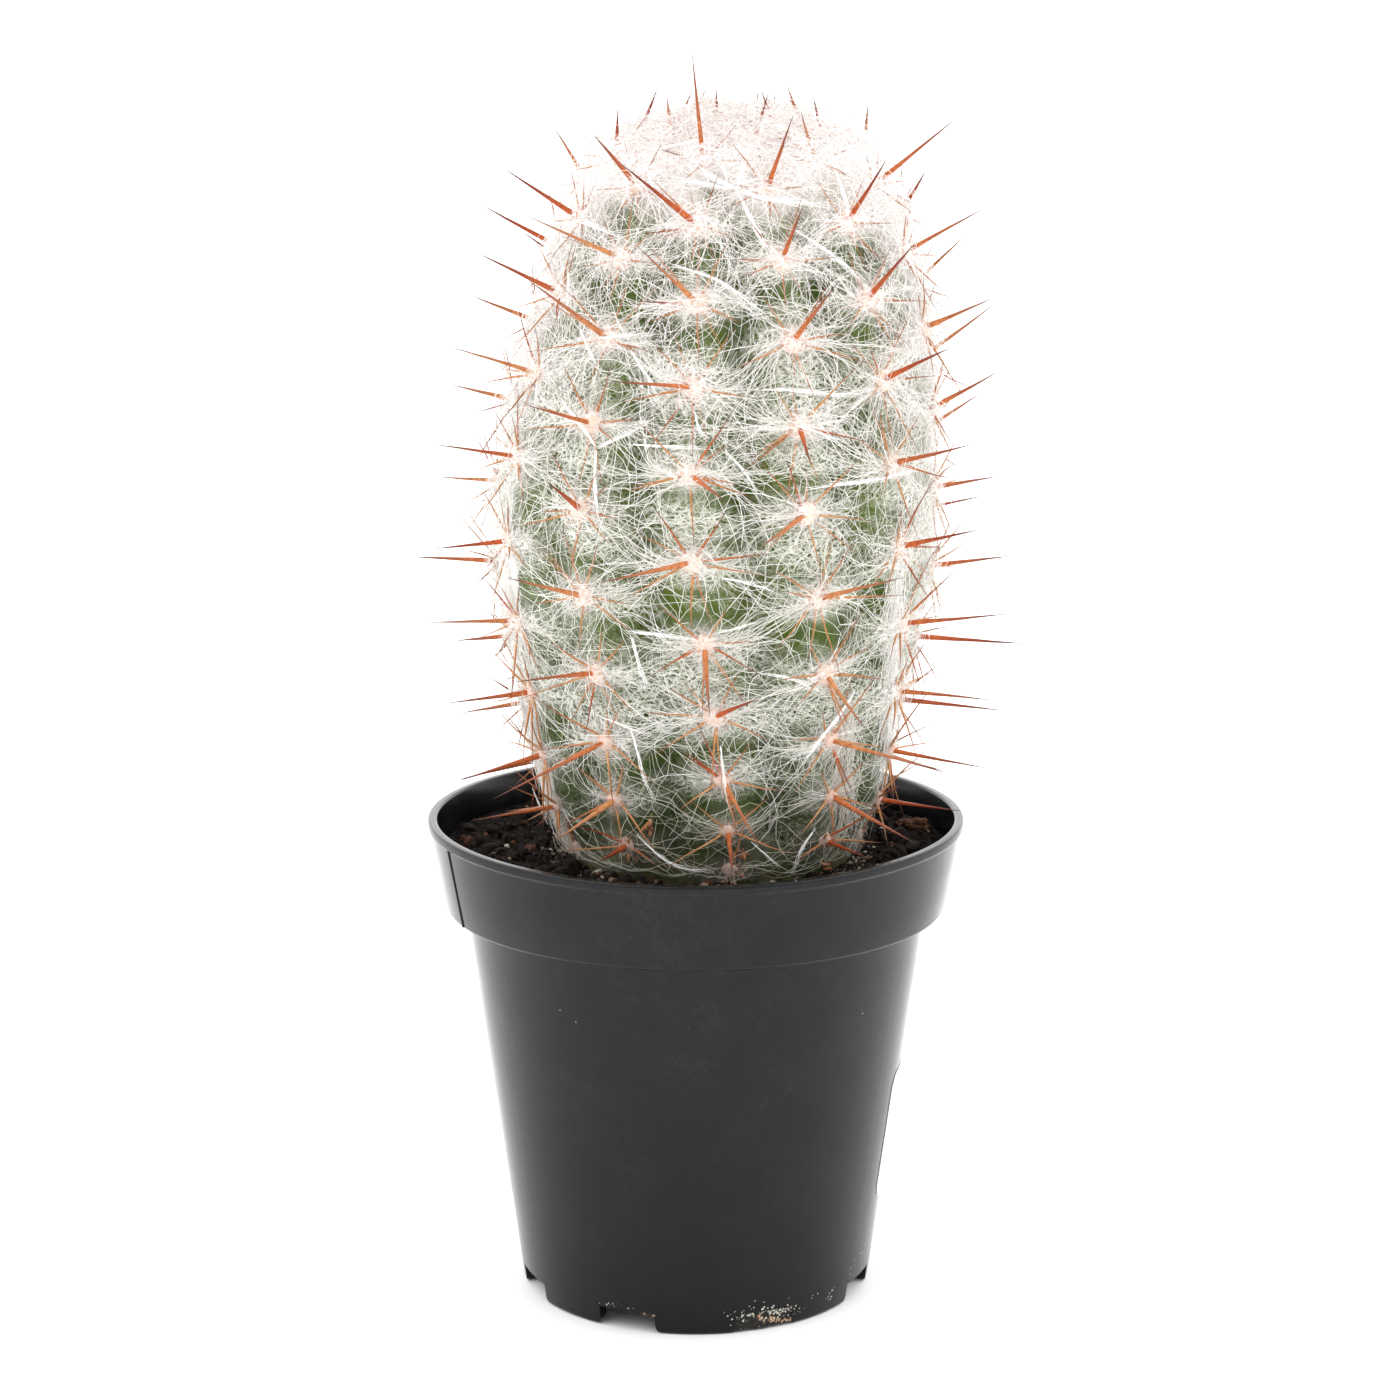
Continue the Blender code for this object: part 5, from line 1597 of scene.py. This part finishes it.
def pot_profile():
    """Radius, height and fillet of the pot's section, from under the floor round to above it."""
    lip_bottom = POT_HEIGHT - LIP_HEIGHT
    skirt_inside = BODY_BOTTOM_RADIUS - SKIRT_WALL
    return [
        (0.0, FLOOR_BOTTOM, 0.0),
        (skirt_inside, FLOOR_BOTTOM, 0.4 * MM),
        (skirt_inside, 0.0, 0.3 * MM),
        (BODY_BOTTOM_RADIUS, 0.0, BOTTOM_ROUND),
        (wall_radius(6.0 * MM), 6.0 * MM, 0.0),
        (BODY_TOP_RADIUS, COLLAR_BOTTOM, 0.3 * MM),
        (COLLAR_BOTTOM_RADIUS, COLLAR_BOTTOM, 0.7 * MM),
        (collar_radius(lip_bottom - LIP_STEP), lip_bottom - LIP_STEP, 0.15 * MM),
        (RIM_RADIUS, lip_bottom, 0.2 * MM),
        (RIM_RADIUS, POT_HEIGHT, 0.5 * MM),
        (RIM_RADIUS - LIP_STEP - WALL, POT_HEIGHT, 0.45 * MM),
        (collar_radius(LEDGE_TOP) - WALL, LEDGE_TOP, 0.3 * MM),
        (BODY_TOP_RADIUS - WALL, LEDGE_TOP, 0.3 * MM),
        (wall_radius(FLOOR_TOP) - WALL, FLOOR_TOP, 1.0 * MM),
        (0.0, FLOOR_TOP, 0.0),
    ]


def rounded(profile, steps=4, most=6.0 * MM):
    """The section with its corners rounded and its long runs split."""
    points = [Vector(profile[0][:2])]
    for (r0, z0, _), (r1, z1, fillet), (r2, z2, _) in zip(profile, profile[1:], profile[2:]):
        corner, back, on = Vector((r1, z1)), Vector((r0 - r1, z0 - z1)), Vector((r2 - r1, z2 - z1))
        if fillet == 0:
            points.append(corner)
            continue
        start, end = corner + back.normalized() * fillet, corner + on.normalized() * fillet
        for step in range(steps + 1):
            t = step / steps
            points.append(start * (1 - t) ** 2 + corner * 2 * t * (1 - t) + end * t**2)
    points.append(Vector(profile[-1][:2]))
    split = [points[0]]
    for one, other in zip(points, points[1:]):
        parts = max(1, math.ceil((other - one).length / most))
        split.extend(one.lerp(other, part / parts) for part in range(1, parts + 1))
    return split


def sagged(point):
    """The thin collar dips a little at the front."""
    share = float(ramp(point.z, COLLAR_BOTTOM, POT_HEIGHT))
    angle = math.atan2(point.x, -point.y)
    dip = RIM_SAG * math.exp(-((angle / RIM_SAG_WIDTH) ** 2))
    return Vector((point.x, point.y, point.z - dip * share))


def turned(profile, segments):
    """The section turned about the axis, with points on the axis kept single."""
    rings = []
    for radius, z in profile:
        ring = [Vector((0, 0, z))] if radius == 0 else [sagged(point) for point in ring_of(radius, z, segments)]
        rings.append(ring)
    return skinned(rings)


def cut_by(mesh, cutters):
    """The mesh with the cutters taken out of it."""
    body, tool = linked("body", mesh), linked("tool", cutters)
    modifier = body.modifiers.new("cut", "BOOLEAN")
    modifier.operation = "DIFFERENCE"
    modifier.object = tool
    graph = bpy.context.evaluated_depsgraph_get()
    made = bpy.data.meshes.new_from_object(body.evaluated_get(graph))
    body.modifiers.remove(modifier)
    for obj in (body, tool):
        bpy.data.objects.remove(obj)
    return sharpened(made)


def notch_outline():
    half = NOTCH_WIDTH / 2
    turns = [math.radians(90 * step / 6) for step in range(7)]
    arc = [(half + FOOT_CORNER * (1 - math.cos(t)), FOOT_CORNER * (1 - math.sin(t))) for t in turns]
    right = [(half, NOTCH_HEIGHT)] + arc + [(half + FOOT_CORNER, -FOOT_CORNER)]
    return right + [(-x, z) for x, z in reversed(right)]


def pot_cutters():
    """What is taken out between the feet: a notch through the skirt, and a drain hole in the floor."""
    bm = bmesh.new()
    depths = (BODY_BOTTOM_RADIUS - 2 * SKIRT_WALL, BODY_BOTTOM_RADIUS + SKIRT_WALL)
    for foot in range(FEET):
        angle = math.tau * (foot + 0.5) / FEET
        turn = Matrix.Rotation(angle, 3, "Z")
        ends = [[turn @ Vector((x, -depth, z)) for x, z in notch_outline()] for depth in depths]
        skinned(ends, bm, capped=True)
        centre = about_axis(DRAIN_RING, angle, (FLOOR_BOTTOM + FLOOR_TOP) / 2)
        bmesh.ops.create_cone(
            bm, cap_ends=True, segments=28, radius1=DRAIN_RADIUS, radius2=DRAIN_RADIUS,
            depth=3 * (FLOOR_TOP - FLOOR_BOTTOM), matrix=Matrix.Translation(centre),
        )
    return mesh_from(bm, "cutters")


def make_pot():
    mesh = mesh_from(turned(rounded(pot_profile()), POT_SEGMENTS), "pot_body")
    piece_from(cut_by(mesh, pot_cutters()), "pot_body", "pot_plastic", "pot_plastic", replaces="pot")
    make_seam()


def make_seam():
    """The thin upright line that the mould leaves on the collar."""
    half = SEAM_WIDTH / 2
    section = ((-half, -0.3 * MM), (-half * 0.6, SEAM_PROUD), (half * 0.6, SEAM_PROUD), (half, -0.3 * MM))
    rings = []
    for step in range(SEAM_STEPS + 1):
        z = lerp(COLLAR_BOTTOM + 0.3 * MM, POT_HEIGHT - LIP_HEIGHT - 0.4 * MM, step / SEAM_STEPS)
        radius = collar_radius(z)
        corners = (about_axis(radius + off, SEAM_ANGLE + across / radius, z) for across, off in section)
        rings.append([sagged(corner) for corner in corners])
    piece_from(mesh_from(skinned(rings, capped=True), "pot_seam"), "pot_seam", "pot_plastic", "pot_plastic")


def seen_on_pot(pixels):
    """Points on the pot's outside, by where the camera sees them."""
    def height_over(places):
        z = places[:, 2]
        return np.hypot(places[:, 0], places[:, 1]) - np.where(z > COLLAR_BOTTOM, collar_radius(z), wall_radius(z))

    return first_hits(pixels, height_over)


def make_pot_marks():
    """Lime, root crust and dust on the wall and at the drain notches, at the front and at the back."""
    rng = np.random.default_rng(SEED + 6)
    found = []
    for start, end, spread, count, smallest, largest, tone in POT_MARKS.values():
        pixels = lerp(np.array(start), np.array(end), rng.random((count, 1))) + rng.normal(0.0, spread, (count, 2))
        places = seen_on_pot(pixels)
        found += specks(rng, places[places[:, 2] > LOWEST_MARK], smallest, largest, tone)
    found += specks(rng, seen_on_pot(POT_DUST), 0.14, 0.24, 0.2)
    set_lumps("pot_marks", "perlite", "lime_crust", found, 0.45, 0.05, 0.3, 1)
    for angle in PLUG_ANGLES:
        make_notch_plug(angle)


def specks(rng, places, smallest, largest, tone):
    """Grains that lie on the wall: place, way out, size and tone of each."""
    found = []
    for turn in MARK_TURNS:
        flat = Matrix.Rotation(turn, 3, "Z")
        for place in places:
            point = flat @ Vector(place)
            way = Vector((point.x, point.y, 0.0)).normalized()
            size = lerp(smallest, largest, rng.random() ** 2) * MM
            found.append((point - way * 0.2 * size, way, size, float(np.clip(rng.normal(tone, 0.1), 0.0, 1.0))))
    return found


def make_notch_plug(angle):
    """Dried peat that has washed down and closed one of the drain notches."""
    columns, rows = PLUG_GRID
    half = (NOTCH_WIDTH / 2 + FOOT_CORNER) / BODY_BOTTOM_RADIUS

    def point_at(column, row, depth):
        share = 2 * column / columns - 1
        bottom = 0.3 * MM + 0.9 * MM * abs(noise.noise(Vector((share * 3, angle, 0.0))))
        z = lerp(bottom, NOTCH_HEIGHT + 0.3 * MM, row / rows)
        rough = 0.25 * MM * noise.noise(Vector((share * 9, angle, z / (0.9 * MM))))
        return about_axis(wall_radius(z) - depth - abs(rough), angle + share * half, z)

    name = f"notch_plug_{round(math.degrees(angle))}"
    curved_sheet(name, "soil_mix", "dried_peat", columns, rows, (SKIRT_WALL - 0.2 * MM, 0.15 * MM), point_at)


def make_label():
    """A thin bare sticker that follows the wall, with round corners."""
    columns, rows = LABEL_GRID
    middle = wall_radius(LABEL_BOTTOM + LABEL_HEIGHT / 2)

    def point_at(column, row, off):
        place = LABEL_WIDTH * column / columns
        inward = max(0.0, LABEL_CORNER - min(place, LABEL_WIDTH - place))
        trim = LABEL_CORNER - math.sqrt(LABEL_CORNER**2 - inward**2)
        z = lerp(LABEL_BOTTOM + trim, LABEL_BOTTOM + LABEL_HEIGHT - trim, row / rows)
        return about_axis(wall_radius(z) + off, LABEL_START + place / middle, z)

    offs = (LABEL_OFF, LABEL_OFF + LABEL_THICKNESS)
    curved_sheet("label_sheet", "label_paper", "label_paper", columns, rows, offs, point_at, replaces="label")


# Pieces: soil


def soil_height(point):
    """Height of the loose soil over its mean level: lumps of two sizes."""
    return sum(height * noise.noise(point / size) for height, size in SOIL_LUMPS)


def soil_ring(radius, z, centre_x=0.0):
    return ring_of(radius, z, SOIL_SEGMENTS, centre_x)


def make_soil():
    """The soil plug with its loose top, then crumbs of bark, perlite and litter on it."""
    outside = (
        (wall_radius(FLOOR_TOP) - 2 * WALL - GAP, FLOOR_TOP + GAP),
        (wall_radius(FLOOR_TOP + WALL) - WALL - GAP, FLOOR_TOP + WALL + GAP),
        (BODY_TOP_RADIUS - WALL - GAP, LEDGE_TOP + GAP),
        (collar_radius(LEDGE_TOP) - WALL - GAP, LEDGE_TOP + GAP),
        (collar_radius(SOIL_EDGE_Z) - WALL - 0.1 * MM, SOIL_EDGE_Z),
    )
    under = [[Vector((0, 0, FLOOR_TOP + GAP))]] + [soil_ring(radius, z) for radius, z in outside]
    hole = soil_ring(HOLE_RADIUS, SOIL_HOLE_Z, STEM_X_LOW)
    top = []
    for step in range(1, SOIL_RINGS):
        ring = [a.lerp(b, step / SOIL_RINGS) for a, b in zip(under[-1], hole)]
        top.append([Vector((p.x, p.y, p.z + soil_height(p))) for p in ring])
    top.append(hole)
    inside = [soil_ring(HOLE_RADIUS, HOLE_BOTTOM, STEM_X_LOW), [Vector((STEM_X_LOW, 0, HOLE_BOTTOM))]]
    mesh = mesh_from(skinned(under + top + inside), "soil_plug")
    piece_from(mesh, "soil_plug", "soil_mix", "soil_dark", replaces="soil")
    for name, (slot, material, density, smallest, largest, flatness, subdivisions, seed, rings) in STREWN.items():
        grow(name, slot, mesh_from(skinned(top[-rings:]), name), "crumbs", material, density=density,
             smallest=smallest * MM, largest=largest * MM, flatness=flatness, rough_height=0.35 * largest * MM,
             rough_size=0.7 * largest * MM, subdivisions=subdivisions, seed=seed)


def soil_top(x, y):
    """Height of the loose soil at a place."""
    edge = collar_radius(SOIL_EDGE_Z) - WALL
    share = (math.hypot(x, y) - HOLE_RADIUS) / (edge - HOLE_RADIUS)
    level = lerp(SOIL_HOLE_Z, SOIL_EDGE_Z, share)
    return level + soil_height(Vector((x, y, level)))


def make_soil_chips():
    for name, (place, size, turn, slot, material) in SOIL_CHIPS.items():
        bm = bmesh.new()
        bmesh.ops.create_icosphere(bm, subdivisions=4 if size[0] > 2 else 3, radius=1.0)
        flat = Matrix.Rotation(math.radians(turn), 3, "Z")
        x, y = (value * MM for value in place)
        bed = Vector((x, y, soil_top(x, y) + 0.55 * size[2] * MM))
        for vert in bm.verts:
            ridged = vert.co * (1 + 0.45 * noise.noise(vert.co * 1.7 + bed / MM))
            ridged *= 1 + 0.22 * noise.noise(Vector((ridged.x * 2, ridged.y * 5, ridged.z * 5)))
            vert.co = bed + flat @ Vector((ridged.x * size[0], ridged.y * size[1], ridged.z * size[2])) * MM
        piece_from(mesh_from(bm, name), name, slot, material)


# Floor, light and camera


def make_stage():
    mesh = bpy.data.meshes.new("floor")
    half = 200.0
    mesh.from_pydata([(-half, -half, 0), (half, -half, 0), (half, half, 0), (-half, half, 0)], [], [(0, 1, 2, 3)])
    mesh.materials.append(finish("studio_floor"))
    floor = linked("floor", mesh)
    floor.location.z = -0.00005

    world = bpy.data.worlds.new("studio")
    bpy.context.scene.world = world
    world.use_nodes = True
    net = Net(world.node_tree)
    background = net.tree.nodes["Background"].inputs
    background["Color"].default_value = (1.0, 1.0, 1.0, 1.0)
    way = net.add("ShaderNodeTexCoord", output="Generated")
    way = net.add("ShaderNodeSeparateXYZ", {0: way}, "Y")
    net.feed(background["Strength"], net.between(way, -0.8, 0.15, 0.82, 2.2))
    add_softbox("softbox_left", Vector((-0.9, -0.7, 1.1)), 0.9, 5.0)
    add_softbox("softbox_right", Vector((0.9, -0.5, 1.0)), 0.9, 4.0)


def add_softbox(name, place, size, power):
    light = bpy.data.lights.new(name, "AREA")
    light.size = size
    light.energy = power
    lamp = linked(name, light)
    lamp.location = place
    lamp.rotation_euler = (Vector((0, 0, 0.12)) - place).to_track_quat("-Z", "Y").to_euler()


def make_camera():
    data = bpy.data.cameras.new("camera")
    data.sensor_width = CAMERA_SENSOR
    data.lens = CAMERA_LENS
    data.clip_start = 0.01
    data.clip_end = 100.0
    camera = linked("camera", data)
    camera.location = POT_AXIS + CAMERA_PLACE
    camera.rotation_euler = (math.pi / 2 - CAMERA_TILT, 0, 0)
    bpy.context.scene.camera = camera
    bpy.context.scene.view_settings.view_transform = "Standard"


def main():
    make_camera()
    make_stage()
    make_pot()
    make_pot_marks()
    make_label()
    make_soil()
    make_soil_chips()
    make_skin()
    areoles = [Areole(rib, step) for rib in range(RIBS) for step in range(len(AREOLES[rib]))]
    make_pads(areoles)
    make_spines(areoles)
    make_nubs()
    make_down(areoles)
    make_hair(areoles)
    make_bright_strands()


main()
